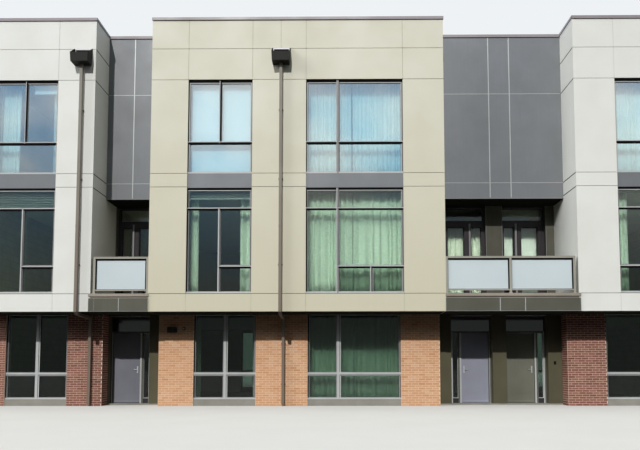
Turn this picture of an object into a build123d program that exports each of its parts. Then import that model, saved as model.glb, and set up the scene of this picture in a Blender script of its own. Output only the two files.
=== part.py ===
from build123d import *
import os

os.makedirs("parts", exist_ok=True)

# Overall sizes, in millimetres. Widths run from the row's left end, depths run
# back from the face of the upper storeys, heights start at the ground.
WHITE_L_W = 3700.0      # left white block
NICHE_L_W = 1620.0      # narrow recess with one entrance
BEIGE_W = 8340.0        # beige block
NICHE_R_W = 3700.0      # wide recess with two entrances
WHITE_R_W = 4640.0      # right white block
DEPTH = 10000.0         # face of the upper storeys to the rear face

X_WL = WHITE_L_W
X_BL = X_WL + NICHE_L_W
X_BR = X_BL + BEIGE_W
X_WR = X_BR + NICHE_R_W
ROW_W = X_WR + WHITE_R_W
PARTY_BEIGE = X_BL + 3700.0
PARTY_NICHE = X_BR + NICHE_R_W / 2
PARTY_T = 200.0

# Depth of each set back plane behind the upper face
BAY_Y = 1000.0          # third storey wall in a recess
BRICK_Y = 1050.0        # ground storey brickwork
ENTRY_Y = 1500.0        # panelled wall beside the entrance doors
BALCONY_Y = 1850.0      # panelled wall beside the balcony doors
BALCONY_T = 350.0
DOOR_SET = 190.0        # balcony door frames behind that wall
ENTRY_T = 350.0
WALL_T = 300.0
RETURN_T = 250.0
SKIN_T = 25.0           # cladding panel
JOINT = 14.0            # gap between cladding panels

# Heights
SLAB_TOP = 40.0
SILL1 = 190.0           # foot of the ground storey windows
BAND_BOT = 2690.0       # underside of the upper storeys
FLOOR2_BOT = 2750.0
FLOOR2_TOP = 3140.0
SILL2 = 3200.0
TRANSOM2_LOW = SILL2 + 780.0
TRANSOM2_UP = SILL2 + 2420.0
HEAD2 = TRANSOM2_UP + 590.0
FLOOR3_BOT = HEAD2 - 20.0
FLOOR3_TOP = FLOOR3_BOT + 350.0
SILL3 = HEAD2 + 410.0
TRANSOM3 = SILL3 + 900.0
HEAD3 = TRANSOM3 + 1820.0
SEAM_TOP = HEAD3 + 920.0
ROOF_BOT = HEAD3 + 700.0
ROOF_TOP = ROOF_BOT + 300.0
WALL_TOP = SEAM_TOP + 860.0
COPING_TOP = WALL_TOP + 70.0
COPING_LIP = 20.0
BAY_BOT = FLOOR3_BOT - 50.0

# Window columns, as left and right edges
NARROW_W = 1835.0
WIDE_W = 2755.0
WIN_WL = (X_WL - 1060.0 - NARROW_W, X_WL - 1060.0)
WIN_BN = (X_BL + 1055.0, X_BL + 1055.0 + NARROW_W)
WIN_BW = (PARTY_BEIGE + 720.0, PARTY_BEIGE + 720.0 + WIDE_W)
WIN_WR = (X_WR + 1160.0, X_WR + 1160.0 + WIDE_W)
COLUMNS = (WIN_WL, WIN_BN, WIN_BW, WIN_WR)
GROUND_TRANSOM = SILL1 + 720.0
FRAME_W = 62.0          # face width of a window mullion
EDGE_W = 50.0           # face width of a window's outer frame
RAIL_H = 42.0           # face height of a transom
GROUND_MULLION = 104.0
FRAME_D = 80.0
FRAME_SET = 50.0        # window face behind the wall face
GLASS_T = 24.0
WIDE_MULLION = 900.0    # middle of the mullion from the near window edge

# Rainwater goods
HEAD_W, HEAD_D, HEAD_TAPER = 530.0, 330.0, 25.0
HEAD_BACK = SEAM_TOP + 10.0     # top edge against the wall
HEAD_FRONT = HEAD_BACK - 250.0  # top edge at the front
HEAD_BOT = HEAD_BACK - 500.0
PIPE_W = 80.0
PIPE_BACK, PIPE_FACE = 34.0, 136.0  # back and face of a pipe, out from the wall
PIPE_XS = (X_WL - 362.0, PARTY_BEIGE + 8.0)
ELBOW, FALL = 96.0, 60.0        # foot of the elbow below the overhang, and its fall to the brick
CLIP_W, CLIP_H = 130.0, 40.0

# Balconies and entrances
DECK_TOP, DECK_CAP = 3192.0, 80.0
DECK_LIP = 20.0         # fascia and deck edge before the upper face
LAP_WHITE, LAP_BEIGE = 45.0, 15.0  # and past the recess on either side
GUARD_TOP, GUARD_RAIL, POST = 4234.0, 66.0, 60.0
GUARD_LOW = (3275.0, 3312.0)
UNIT_W = 1250.0         # door, post and side window of an entrance
JAMB, POST_W = 76.0, 100.0
LEAF_W, LEAF_H, LEAF_T, LEAF_GAP = 816.0, 2120.0, 45.0, 7.0
LEAF_Y = ENTRY_Y + 255.0  # outer face of an entrance door
LEAF_BOT = SLAB_TOP + 6.0
HINGE_OUT = 8.0         # hinge line behind the inner face of a door
KNUCKLE_R, KNUCKLE_H = 7.0, 33.0
RUN_GAP = 0.5           # running gap at a hinge knuckle
HINGE_ZS = (320.0, 1120.0, 1920.0)
LEVER_Z = 1060.0
ENTRY_HEAD = 2655.0
DOOR_BAR = (LEAF_BOT + LEAF_H + LEAF_GAP, 2220.0)
BALCONY_UNIT_W = 1372.0

X_MID = ROW_W / 2
Y_MID = (DEPTH + COPING_LIP - HEAD_D) / 2


def block(x0, x1, y0, y1, z0, z1):
    """Adds one upright box to the part being built."""
    with BuildSketch(Plane.XY.offset(z0)) as profile:
        with Locations(((x0 + x1) / 2 - X_MID, (y0 + y1) / 2 - Y_MID)):
            Rectangle(x1 - x0, y1 - y0)
    extrude(profile.sketch, amount=z1 - z0)


def plate(points, z0, z1):
    """Adds one level plate with the given corners."""
    with BuildSketch(Plane.XY.offset(z0)) as profile:
        with BuildLine():
            Polyline(*[(x - X_MID, y - Y_MID) for x, y in points], close=True)
        make_face()
    extrude(profile.sketch, amount=z1 - z0)


def side_plate(x0, x1, points):
    """Adds one upright plate across the row, its corners given as depth and height."""
    with BuildSketch(Plane.YZ.offset(x0 - X_MID)) as profile:
        with BuildLine():
            Polyline(*[(y - Y_MID, z) for y, z in points], close=True)
        make_face()
    extrude(profile.sketch, amount=x1 - x0)


def lattice(x0, x1, z0, z1, panes, y0, y1):
    """Adds one upright frame between two depths, with its panes cut out."""
    with BuildSketch(Plane.XZ.offset(Y_MID - y1)) as profile:
        with Locations(((x0 + x1) / 2 - X_MID, (z0 + z1) / 2)):
            Rectangle(x1 - x0, z1 - z0)
        for px0, px1, pz0, pz1 in panes:
            with Locations(((px0 + px1) / 2 - X_MID, (pz0 + pz1) / 2)):
                Rectangle(px1 - px0, pz1 - pz0, mode=Mode.SUBTRACT)
    extrude(profile.sketch, amount=y1 - y0)


def spans(edges, gap=0.0):
    """Turns a row of seam positions into the strips between them."""
    last = len(edges) - 2
    for i in range(last + 1):
        yield (edges[i] + (gap / 2 if i else 0), edges[i + 1] - (gap / 2 if i < last else 0))


def finish(builder, name):
    builder.part.label = name
    export_step(builder.part, "parts/" + name + ".step")

# Inner faces of the recess sides, behind their cladding
C_WL, C_BL, C_BR, C_WR = X_WL - SKIN_T, X_BL + SKIN_T, X_BR - SKIN_T, X_WR + SKIN_T
REAR_IN = DEPTH - WALL_T
RET2_END = BALCONY_Y + BALCONY_T    # recess side walls, second storey
RET3_END = BAY_Y + RETURN_T         # recess side walls, third storey
RET1_END = ENTRY_Y + ENTRY_T        # brick recess sides, ground storey
PARTY_XS = ((0.0, PARTY_T), (C_WL - PARTY_T, C_WL),
            (PARTY_BEIGE - PARTY_T / 2, PARTY_BEIGE + PARTY_T / 2),
            (PARTY_NICHE - PARTY_T / 2, PARTY_NICHE + PARTY_T / 2), (ROW_W - PARTY_T, ROW_W))
BLOCKS = ((0.0, C_WL), (C_BL, C_BR), (C_WR, ROW_W))
NICHES = ((X_WL, X_BL), (X_BR, X_WR))


def house_plates(block_y, niche_y, ret_end, z0, z1):
    """Adds one level plate to each house, stepped round the recess side walls."""
    w = RETURN_T
    for i in range(4):
        a, b = PARTY_XS[i][1], PARTY_XS[i + 1][0]
        rear = [(b, REAR_IN), (a, REAR_IN)]
        if i == 0:
            front = [(a, block_y), (C_WL - w, block_y), (C_WL - w, ret_end), (b, ret_end)]
        elif i == 1:
            front = [(a, niche_y), (C_BL, niche_y), (C_BL, ret_end), (C_BL + w, ret_end),
                     (C_BL + w, block_y), (b, block_y)]
        elif i == 2:
            front = [(a, block_y), (C_BR - w, block_y), (C_BR - w, ret_end), (C_BR, ret_end),
                     (C_BR, niche_y), (b, niche_y)]
        else:
            front = [(a, niche_y), (C_WR, niche_y), (C_WR, ret_end), (C_WR + w, ret_end),
                     (C_WR + w, block_y), (b, block_y)]
        points = []
        for p in front + rear:
            if not points or p != points[-1]:
                points.append(p)
        plate(points, z0, z1)


# Floors and roof, one plate to each house
with BuildPart() as ground_floor_slab:
    house_plates(BRICK_Y + WALL_T, ENTRY_Y, RET1_END, 0.0, SLAB_TOP)
    block(PARTY_XS[3][0], PARTY_XS[3][1], ENTRY_Y, RET1_END, 0.0, SLAB_TOP)
finish(ground_floor_slab, "ground_floor_slab")

with BuildPart() as second_floor:
    house_plates(WALL_T, BALCONY_Y, RET2_END, FLOOR2_BOT, FLOOR2_TOP)
finish(second_floor, "second_floor")

with BuildPart() as third_floor:
    house_plates(WALL_T, RET3_END, RET3_END, FLOOR3_BOT, FLOOR3_TOP)
finish(third_floor, "third_floor")

with BuildPart() as roof_deck:
    house_plates(WALL_T, RET3_END, RET3_END, ROOF_BOT, ROOF_TOP)
finish(roof_deck, "roof_deck")

# Party walls between the houses and at both ends of the row
with BuildPart() as party_walls_lower:
    for i, (a, b) in enumerate(PARTY_XS):
        front = (BRICK_Y + WALL_T, RET1_END, BRICK_Y + WALL_T, BALCONY_Y, BRICK_Y + WALL_T)[i]
        block(a, b, front, REAR_IN, 0.0, FLOOR2_BOT)
finish(party_walls_lower, "party_walls_lower")

with BuildPart() as party_walls_upper:
    for i, (a, b) in enumerate(PARTY_XS):
        top = WALL_TOP if i in (0, 4) else ROOF_TOP
        if i in (1, 3):
            block(a, b, RET2_END, REAR_IN, FLOOR2_BOT, top)
            block(a, b, RET3_END, RET2_END, FLOOR3_BOT, top)
        else:
            block(a, b, WALL_T, REAR_IN, FLOOR2_BOT, top)
finish(party_walls_upper, "party_walls_upper")

# Ground storey brickwork: piers between the windows, returned into each recess
PIERS_FRONT = {
    "red": ((0.0, WIN_WL[0]), (WIN_WL[1], C_WL), (C_WR, WIN_WR[0]), (WIN_WR[1], ROW_W)),
    "orange": ((C_BL, WIN_BN[0]), (WIN_BN[1], WIN_BW[0]), (WIN_BW[1], C_BR)),
}
PIERS_REAR = {
    "red": ((0.0, WIN_WL[0]), (WIN_WL[1], X_WL + NICHE_L_W / 2), (PARTY_NICHE, WIN_WR[0]),
            (WIN_WR[1], ROW_W)),
    "orange": ((X_WL + NICHE_L_W / 2, WIN_BN[0]), (WIN_BN[1], WIN_BW[0]), (WIN_BW[1], PARTY_NICHE)),
}
RETURNS = {"red": ((C_WL - RETURN_T, C_WL), (C_WR, C_WR + RETURN_T)),
           "orange": ((C_BL, C_BL + RETURN_T), (C_BR - RETURN_T, C_BR))}


def brickwork(colour):
    for a, b in PIERS_FRONT[colour]:
        block(a, b, BRICK_Y, BRICK_Y + WALL_T, 0.0, FLOOR2_BOT)
    for a, b in RETURNS[colour]:
        block(a, b, BRICK_Y + WALL_T, RET1_END, 0.0, FLOOR2_BOT)
    for a, b in PIERS_REAR[colour]:
        block(a, b, REAR_IN, DEPTH, 0.0, BAND_BOT)


with BuildPart() as brick_red:
    brickwork("red")
finish(brick_red, "brick_red")

with BuildPart() as brick_orange:
    brickwork("orange")
finish(brick_orange, "brick_orange")

# Upper walls behind the cladding: bands over and under the windows, piers between them
with BuildPart() as wall_bands:
    for a, b in BLOCKS:
        block(a, b, SKIN_T, WALL_T, BAND_BOT, SILL2)
        block(a, b, SKIN_T, WALL_T, HEAD3, WALL_TOP)
    block(0.0, ROW_W, REAR_IN, DEPTH - SKIN_T, BAND_BOT, SILL2)
    block(0.0, ROW_W, REAR_IN, DEPTH - SKIN_T, HEAD3, WALL_TOP)
finish(wall_bands, "wall_bands")

PIER_XS = ((0.0, WIN_WL[0]), (WIN_WL[1], C_WL), (C_BL, WIN_BN[0]), (WIN_BN[1], WIN_BW[0]),
           (WIN_BW[1], C_BR), (C_WR, WIN_WR[0]), (WIN_WR[1], ROW_W))
REAR_XS = ((0.0, WIN_WL[0]), (WIN_WL[1], WIN_BN[0]), (WIN_BN[1], WIN_BW[0]),
           (WIN_BW[1], WIN_WR[0]), (WIN_WR[1], ROW_W))

with BuildPart() as wall_piers:
    for a, b in PIER_XS:
        block(a, b, SKIN_T, WALL_T, SILL2, HEAD3)
    for a, b in REAR_XS:
        block(a, b, REAR_IN, DEPTH - SKIN_T, SILL2, HEAD3)
finish(wall_piers, "wall_piers")

with BuildPart() as return_walls:
    for pair in RETURNS.values():
        for a, b in pair:
            block(a, b, WALL_T, RET2_END, FLOOR2_BOT, FLOOR3_BOT)
            block(a, b, WALL_T, RET3_END, FLOOR3_BOT, WALL_TOP)
finish(return_walls, "return_walls")

# Third storey walls that close each recess, with a boarded underside
with BuildPart() as bay_walls:
    for a, b in ((C_WL, C_BL), (C_BR, C_WR)):
        block(a, b, BAY_Y + SKIN_T, RET3_END, BAY_BOT, WALL_TOP)
finish(bay_walls, "bay_walls")

with BuildPart() as soffits:
    for a, b in BLOCKS:
        block(a, b, WALL_T, BRICK_Y, BAND_BOT, FLOOR2_BOT)
    for a, b in ((C_WL, C_BL), (C_BR, C_WR)):
        block(a, b, RET3_END, RET2_END, BAY_BOT, FLOOR3_BOT)
finish(soffits, "soffits")

# Cladding panels, with an open joint between them
ROWS_FULL = (BAND_BOT, SILL2)
ROWS_TOP = (HEAD3, SEAM_TOP, WALL_TOP)
ROWS_PIER = (SILL2, HEAD2 + 20.0, SILL3, HEAD3)
COLS = {
    "white": ((0.0, WIN_WL[0], WIN_WL[1], X_WL), (X_WR, WIN_WR[0], WIN_WR[1], ROW_W)),
    "beige": ((X_BL, WIN_BN[0], WIN_BN[1], PARTY_BEIGE, WIN_BW[0], WIN_BW[1], X_BR),),
}
COLS_LOW = {
    "white": COLS["white"],
    "beige": ((X_BL, WIN_BN[0], WIN_BN[1], WIN_BW[0], WIN_BW[1], X_BR),),
}
PIERS_SKIN = {
    "white": ((0.0, WIN_WL[0]), (WIN_WL[1], X_WL), (X_WR, WIN_WR[0]), (WIN_WR[1], ROW_W)),
    "beige": ((X_BL, WIN_BN[0]), (WIN_BN[1], WIN_BW[0]), (WIN_BW[1], X_BR)),
}
REAR_COLS = {
    "white": ((0.0, WIN_WL[0], WIN_WL[1], X_WL + NICHE_L_W / 2),
              (PARTY_NICHE, WIN_WR[0], WIN_WR[1], ROW_W)),
    "beige": ((X_WL + NICHE_L_W / 2, WIN_BN[0], WIN_BN[1], PARTY_BEIGE, WIN_BW[0], WIN_BW[1],
               PARTY_NICHE),),
}


def skin_rows(a, b, y0, y1, rows):
    for z0, z1 in spans(rows, JOINT):
        block(a, b, y0, y1, z0, z1)


def cladding(colour, sides):
    for y0, y1, cols, low, piers in (
            (0.0, SKIN_T, COLS[colour], COLS_LOW[colour], PIERS_SKIN[colour]),
            (DEPTH - SKIN_T, DEPTH, REAR_COLS[colour], REAR_COLS[colour],
             PIERS_REAR["red" if colour == "white" else "orange"])):
        for edges in cols:
            for a, b in spans(edges, JOINT):
                skin_rows(a, b, y0, y1, (HEAD3 + JOINT,) + ROWS_TOP[1:])
        for edges in low:
            for a, b in spans(edges, JOINT):
                block(a, b, y0, y1, BAND_BOT, SILL2 - JOINT)
        for a, b in piers:
            skin_rows(a, b, y0, y1, ROWS_PIER)
    for a, b in sides:
        block(a, b, SKIN_T, BALCONY_Y, BAND_BOT, SILL2 - JOINT)
        side_plate(a, b, ((SKIN_T, SILL2), (BALCONY_Y, SILL2), (BALCONY_Y, BAY_BOT), (BAY_Y, BAY_BOT),
                          (BAY_Y, HEAD2 + 15.0), (SKIN_T, HEAD2 + 15.0)))
        for z0, z1 in ((HEAD2 + 25.0, SILL3 - JOINT / 2), (SILL3 + JOINT / 2, HEAD3),
                       (HEAD3 + JOINT, SEAM_TOP - JOINT / 2), (SEAM_TOP + JOINT / 2, WALL_TOP)):
            block(a, b, SKIN_T, BAY_Y, z0, z1)


with BuildPart() as white_panels:
    cladding("white", ((C_WL, X_WL), (X_WR, C_WR)))
finish(white_panels, "white_panels")

with BuildPart() as beige_panels:
    cladding("beige", ((X_BL, C_BL), (C_BR, X_BR)))
finish(beige_panels, "beige_panels")

# Grey metal panels of the recesses, and the spandrels between the window storeys
BAY_COLS = ((X_WL, X_WL + 790.0, X_BL), (X_BR, X_BR + 1525.0, X_BR + 2150.0, X_WR))
with BuildPart() as grey_panels:
    for edges in BAY_COLS:
        for a, b in spans(edges, JOINT):
            skin_rows(a, b, BAY_Y, BAY_Y + SKIN_T, (BAY_BOT, SILL3, HEAD3 + JOINT / 2, WALL_TOP))
    for a, b in COLUMNS:
        block(a, b, 30.0, WALL_T, HEAD2, SILL3)
        block(a, b, REAR_IN, DEPTH - 30.0, HEAD2, SILL3)
finish(grey_panels, "grey_panels")


# Windows: each kind lists its panes as shares of the opening
def window_panes(kind, x0, x1, z0, z1, flip):
    f, h, t = EDGE_W, FRAME_W / 2, RAIL_H / 2
    if kind == "ground_narrow":
        m, h = (x0 + x1) / 2, GROUND_MULLION / 2
        cells = [(x0 + f, m - h, z0 + f, GROUND_TRANSOM - t), (m + h, x1 - f, z0 + f, GROUND_TRANSOM - t),
                 (x0 + f, m - h, GROUND_TRANSOM + t, z1 - f), (m + h, x1 - f, GROUND_TRANSOM + t, z1 - f)]
    elif kind == "ground_wide":
        m, h = x0 + WIDE_MULLION, GROUND_MULLION / 2
        cells = [(x0 + f, m - h, z0 + f, GROUND_TRANSOM - t), (m + h, x1 - f, z0 + f, GROUND_TRANSOM - t),
                 (x0 + f, m - h, GROUND_TRANSOM + t, z1 - f), (m + h, x1 - f, GROUND_TRANSOM + t, z1 - f)]
    elif kind == "second_narrow":
        m = (x0 + x1) / 2
        cells = [(x0 + f, m - h, z0 + f, TRANSOM2_UP - t), (m + h, x1 - f, z0 + f, TRANSOM2_LOW - t),
                 (m + h, x1 - f, TRANSOM2_LOW + t, TRANSOM2_UP - t),
                 (x0 + f, x1 - f, TRANSOM2_UP + t, z1 - f)]
    elif kind == "second_wide":
        m, n = x0 + WIDE_MULLION, x1 - WIDE_MULLION
        cells = [(x0 + f, m - h, z0 + f, TRANSOM2_UP - t), (m + h, n - h, z0 + f, TRANSOM2_LOW - t),
                 (n + h, x1 - f, z0 + f, TRANSOM2_LOW - t),
                 (m + h, x1 - f, TRANSOM2_LOW + t, TRANSOM2_UP - t),
                 (x0 + f, m - h, TRANSOM2_UP + t, z1 - f), (m + h, x1 - f, TRANSOM2_UP + t, z1 - f)]
    elif kind == "third_narrow":
        m = (x0 + x1) / 2
        cells = [(x0 + f, x1 - f, z0 + f, TRANSOM3 - t), (x0 + f, m - h, TRANSOM3 + t, z1 - f),
                 (m + h, x1 - f, TRANSOM3 + t, z1 - f)]
    else:
        m = x0 + WIDE_MULLION
        cells = [(x0 + f, m - h, z0 + f, TRANSOM3 - t), (m + h, x1 - f, z0 + f, TRANSOM3 - t),
                 (x0 + f, m - h, TRANSOM3 + t, z1 - f), (m + h, x1 - f, TRANSOM3 + t, z1 - f)]
    if flip:
        cells = [(x0 + x1 - b, x0 + x1 - a, c, d) for a, b, c, d in cells]
    return cells


STOREYS = (("ground", SILL1, FLOOR2_BOT, BRICK_Y), ("second", SILL2, HEAD2, 0.0),
           ("third", SILL3, HEAD3, 0.0))


def window_frames(storey, z0, z1, face):
    for k, (a, b) in enumerate(COLUMNS):
        kind = storey + ("_wide" if k > 1 else "_narrow")
        flip = k == 3
        cells = window_panes(kind, a, b, z0, z1, flip)
        lattice(a, b, z0, z1, cells, face + FRAME_SET, face + FRAME_SET + FRAME_D)
        rear_z1 = min(z1, BAND_BOT) if storey == "ground" else z1
        cells = window_panes(kind, a, b, z0, rear_z1, flip)
        lattice(a, b, z0, rear_z1, cells, DEPTH - FRAME_SET - FRAME_D, DEPTH - FRAME_SET)


def window_glass(storey, z0, z1, face):
    for a, b in COLUMNS:
        block(a, b, face + FRAME_SET + FRAME_D, face + FRAME_SET + FRAME_D + GLASS_T, z0, z1)
        rear_z1 = min(z1, BAND_BOT) if storey == "ground" else z1
        y = DEPTH - FRAME_SET - FRAME_D
        block(a, b, y - GLASS_T, y, z0, rear_z1)


with BuildPart() as ground_windows:
    window_frames(*STOREYS[0])
finish(ground_windows, "ground_windows")

with BuildPart() as ground_glass:
    window_glass(*STOREYS[0])
finish(ground_glass, "ground_glass")

with BuildPart() as upper_windows:
    for storey in STOREYS[1:]:
        window_frames(*storey)
finish(upper_windows, "upper_windows")

with BuildPart() as upper_glass:
    for storey in STOREYS[1:]:
        window_glass(*storey)
finish(upper_glass, "upper_glass")

with BuildPart() as window_sills:
    for a, b in COLUMNS:
        block(a, b, BRICK_Y + 15.0, BRICK_Y + WALL_T, 0.0, SILL1)
        block(a, b, REAR_IN, DEPTH - 15.0, 0.0, SILL1)
finish(window_sills, "window_sills")

# Copings on every outer wall top
with BuildPart() as copings:
    lip = COPING_LIP
    for a, b in ((0.0, X_WL), (X_BL, X_BR), (X_WR, ROW_W)):
        block(a, b, -lip, WALL_T + lip, WALL_TOP, COPING_TOP)
    for a, b in ((C_WL, C_BL), (C_BR, C_WR)):
        block(a, b, BAY_Y - lip, RET3_END + lip, WALL_TOP, COPING_TOP)
    for a, b in ((C_WL - RETURN_T, X_WL + lip), (X_BL - lip, C_BL + RETURN_T),
                 (C_BR - RETURN_T, X_BR + lip), (X_WR - lip, C_WR + RETURN_T)):
        block(a, b, -lip, RET3_END + lip, WALL_TOP, COPING_TOP)
    for a, b in ((0.0, PARTY_T + lip), (ROW_W - PARTY_T - lip, ROW_W)):
        block(a, b, -lip, DEPTH + lip, WALL_TOP, COPING_TOP)
    block(0.0, ROW_W, REAR_IN - lip, DEPTH + lip, WALL_TOP, COPING_TOP)
finish(copings, "copings")

# Balconies: deck with a cap, fascia panels, guard posts, rails and glass
DECKS = ((X_WL, X_BL), (X_BR, X_WR))
GUARDS = ((X_WL + 68.0, X_BL), (X_BR, X_WR - 80.0))

BW_R = (PARTY_NICHE - 259.0, PARTY_NICHE + 228.0)
BALCONY_UNITS = ((C_WL + 45.0, False), (BW_R[0] - BALCONY_UNIT_W, True), (BW_R[1], False))


def deck_fronts():
    """The edges of each deck's front, lapped over the blocks beside it."""
    return ((X_WL - LAP_WHITE, X_BL + LAP_BEIGE), (X_BR - LAP_BEIGE, X_WR + LAP_WHITE))


with BuildPart() as balcony_decks:
    for a, b in DECKS:
        block(a, b, 0.0, BALCONY_Y, BAND_BOT, DECK_TOP - DECK_CAP)
        block(a, b, 0.0, BALCONY_Y, DECK_TOP - DECK_CAP, DECK_TOP)
    for a, b in deck_fronts():
        block(a, b, -DECK_LIP - 15.0, 0.0, DECK_TOP - DECK_CAP, DECK_TOP)
    for x0, flip in BALCONY_UNITS:
        block(x0, x0 + BALCONY_UNIT_W, BALCONY_Y, BALCONY_Y + DOOR_SET, FLOOR2_TOP, DECK_TOP)
finish(balcony_decks, "balcony_decks")

with BuildPart() as balcony_fascias:
    for (a, b), seams in zip(deck_fronts(), (((X_WL + X_BL) / 2,), (X_BR + 1500.0, X_BR + 2200.0))):
        for c, d in spans((a,) + seams + (b,), JOINT):
            block(c, d, -DECK_LIP, 0.0, BAND_BOT, DECK_TOP - DECK_CAP - 50.0)
finish(balcony_fascias, "balcony_fascias")


def guard_stops(i):
    a, b = GUARDS[i]
    posts = [a, b - POST]
    if i == 1:
        posts.insert(1, (a + b - POST) / 2)
    return posts


with BuildPart() as guard_posts:
    for i in range(2):
        for x in guard_stops(i):
            block(x, x + POST, 5.0, 5.0 + POST, DECK_TOP, GUARD_TOP - GUARD_RAIL)
finish(guard_posts, "guard_posts")

with BuildPart() as guard_rails:
    for i, (a, b) in enumerate(GUARDS):
        block(a, b, 5.0, 5.0 + POST, GUARD_TOP - GUARD_RAIL, GUARD_TOP)
        stops = guard_stops(i)
        for p, q in zip(stops, stops[1:]):
            block(p + POST, q, 15.0, 55.0, *GUARD_LOW)
finish(guard_rails, "guard_rails")

with BuildPart() as guard_glass:
    for i in range(2):
        stops = guard_stops(i)
        for p, q in zip(stops, stops[1:]):
            block(p + POST, q, 28.0, 42.0, GUARD_LOW[1], GUARD_TOP - GUARD_RAIL)
finish(guard_glass, "guard_glass")

# Balcony door walls
with BuildPart() as balcony_wall_panels:
    y0, y1 = BALCONY_Y, BALCONY_Y + BALCONY_T
    for a, b in ((C_WL, C_WL + 45.0), (C_WL + 45.0 + BALCONY_UNIT_W, C_BL),
                 (C_BR, BW_R[0] - BALCONY_UNIT_W), BW_R, (BW_R[1] + BALCONY_UNIT_W, C_WR)):
        block(a, b, y0, y1, FLOOR2_TOP, BAY_BOT)
finish(balcony_wall_panels, "balcony_wall_panels")


def balcony_cells(x0, flip):
    low, high, top = TRANSOM2_UP - 110.0, TRANSOM2_UP + 100.0, BAY_BOT - 40.0
    cells = [(117.0, 422.0, FLOOR2_TOP + 180.0, low), (655.0, 1165.0, FLOOR2_TOP + 300.0, low),
             (60.0, 1312.0, high, top)]
    w = BALCONY_UNIT_W
    return [(x0 + (w - b if flip else a), x0 + (w - a if flip else b), c, d) for a, b, c, d in cells]


with BuildPart() as balcony_doors:
    for x0, flip in BALCONY_UNITS:
        lattice(x0, x0 + BALCONY_UNIT_W, FLOOR2_TOP, BAY_BOT, balcony_cells(x0, flip),
                BALCONY_Y + DOOR_SET, BALCONY_Y + DOOR_SET + 70.0)
finish(balcony_doors, "balcony_doors")

with BuildPart() as balcony_door_glass:
    for x0, flip in BALCONY_UNITS:
        block(x0, x0 + BALCONY_UNIT_W, BALCONY_Y + DOOR_SET + 70.0, BALCONY_Y + DOOR_SET + 94.0,
              FLOOR2_TOP, BAY_BOT)
finish(balcony_door_glass, "balcony_door_glass")

# Entrances: panelled walls, posts, rails, glass, and one hinged door to each house
EW_R = (PARTY_NICHE - 207.0, PARTY_NICHE + 207.0)
UNITS = ((C_WL, 1), (EW_R[0], -1), (EW_R[1], 1))
DOOR_NAMES = ("left", "middle", "right")
POST_Y = (LEAF_Y - 30.0, RET1_END - 15.0)

with BuildPart() as entry_panels:
    for a, b in ((C_WL + UNIT_W, C_BL), (C_BR, EW_R[0] - UNIT_W), EW_R, (EW_R[1] + UNIT_W, C_WR)):
        block(a, b, ENTRY_Y, RET1_END, SLAB_TOP, BAND_BOT)
    block(C_WL, C_WL + 12.0, ENTRY_Y, POST_Y[0], SLAB_TOP, BAND_BOT)
finish(entry_panels, "entry_panels")


def unit_block(unit, u0, u1, y0, y1, z0, z1):
    """Adds a box at a distance along an entrance, from its hinge side."""
    x, way = unit
    a, b = x + way * u0, x + way * u1
    block(min(a, b), max(a, b), y0, y1, z0, z1)


MID_POST = (JAMB + LEAF_W + 2 * LEAF_GAP, JAMB + LEAF_W + 2 * LEAF_GAP + POST_W)
with BuildPart() as entry_posts:
    for unit in UNITS:
        unit_block(unit, 0.0, JAMB, *POST_Y, SLAB_TOP, BAND_BOT)
        unit_block(unit, *MID_POST, *POST_Y, SLAB_TOP, DOOR_BAR[0])
        unit_block(unit, UNIT_W - JAMB, UNIT_W, *POST_Y, SLAB_TOP, BAND_BOT)
finish(entry_posts, "entry_posts")

with BuildPart() as entry_rails:
    for unit in UNITS:
        unit_block(unit, JAMB, UNIT_W - JAMB, *POST_Y, *DOOR_BAR)
        unit_block(unit, JAMB, UNIT_W - JAMB, *POST_Y, ENTRY_HEAD, BAND_BOT)
        unit_block(unit, MID_POST[1], UNIT_W - JAMB, *POST_Y, SLAB_TOP, SLAB_TOP + 150.0)
finish(entry_rails, "entry_rails")

with BuildPart() as entry_glass:
    for unit in UNITS:
        unit_block(unit, JAMB, UNIT_W - JAMB, LEAF_Y + 10.0, LEAF_Y + 34.0, DOOR_BAR[1], ENTRY_HEAD)
        unit_block(unit, MID_POST[1], UNIT_W - JAMB, LEAF_Y + 10.0, LEAF_Y + 34.0, SLAB_TOP + 150.0,
                   DOOR_BAR[0])
finish(entry_glass, "entry_glass")

HANDLE_U = JAMB + LEAF_GAP + LEAF_W - 75.0
HINGE_U = JAMB + LEAF_GAP


def knuckle(unit, z0, z1, radius):
    """Adds one hinge knuckle on the hinge line of an entrance."""
    x, way = unit
    with BuildSketch(Plane.XY.offset(z0)) as profile:
        with Locations((x + way * HINGE_U - X_MID, LEAF_Y + LEAF_T + HINGE_OUT - Y_MID)):
            Circle(radius)
    extrude(profile.sketch, amount=z1 - z0)


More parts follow.
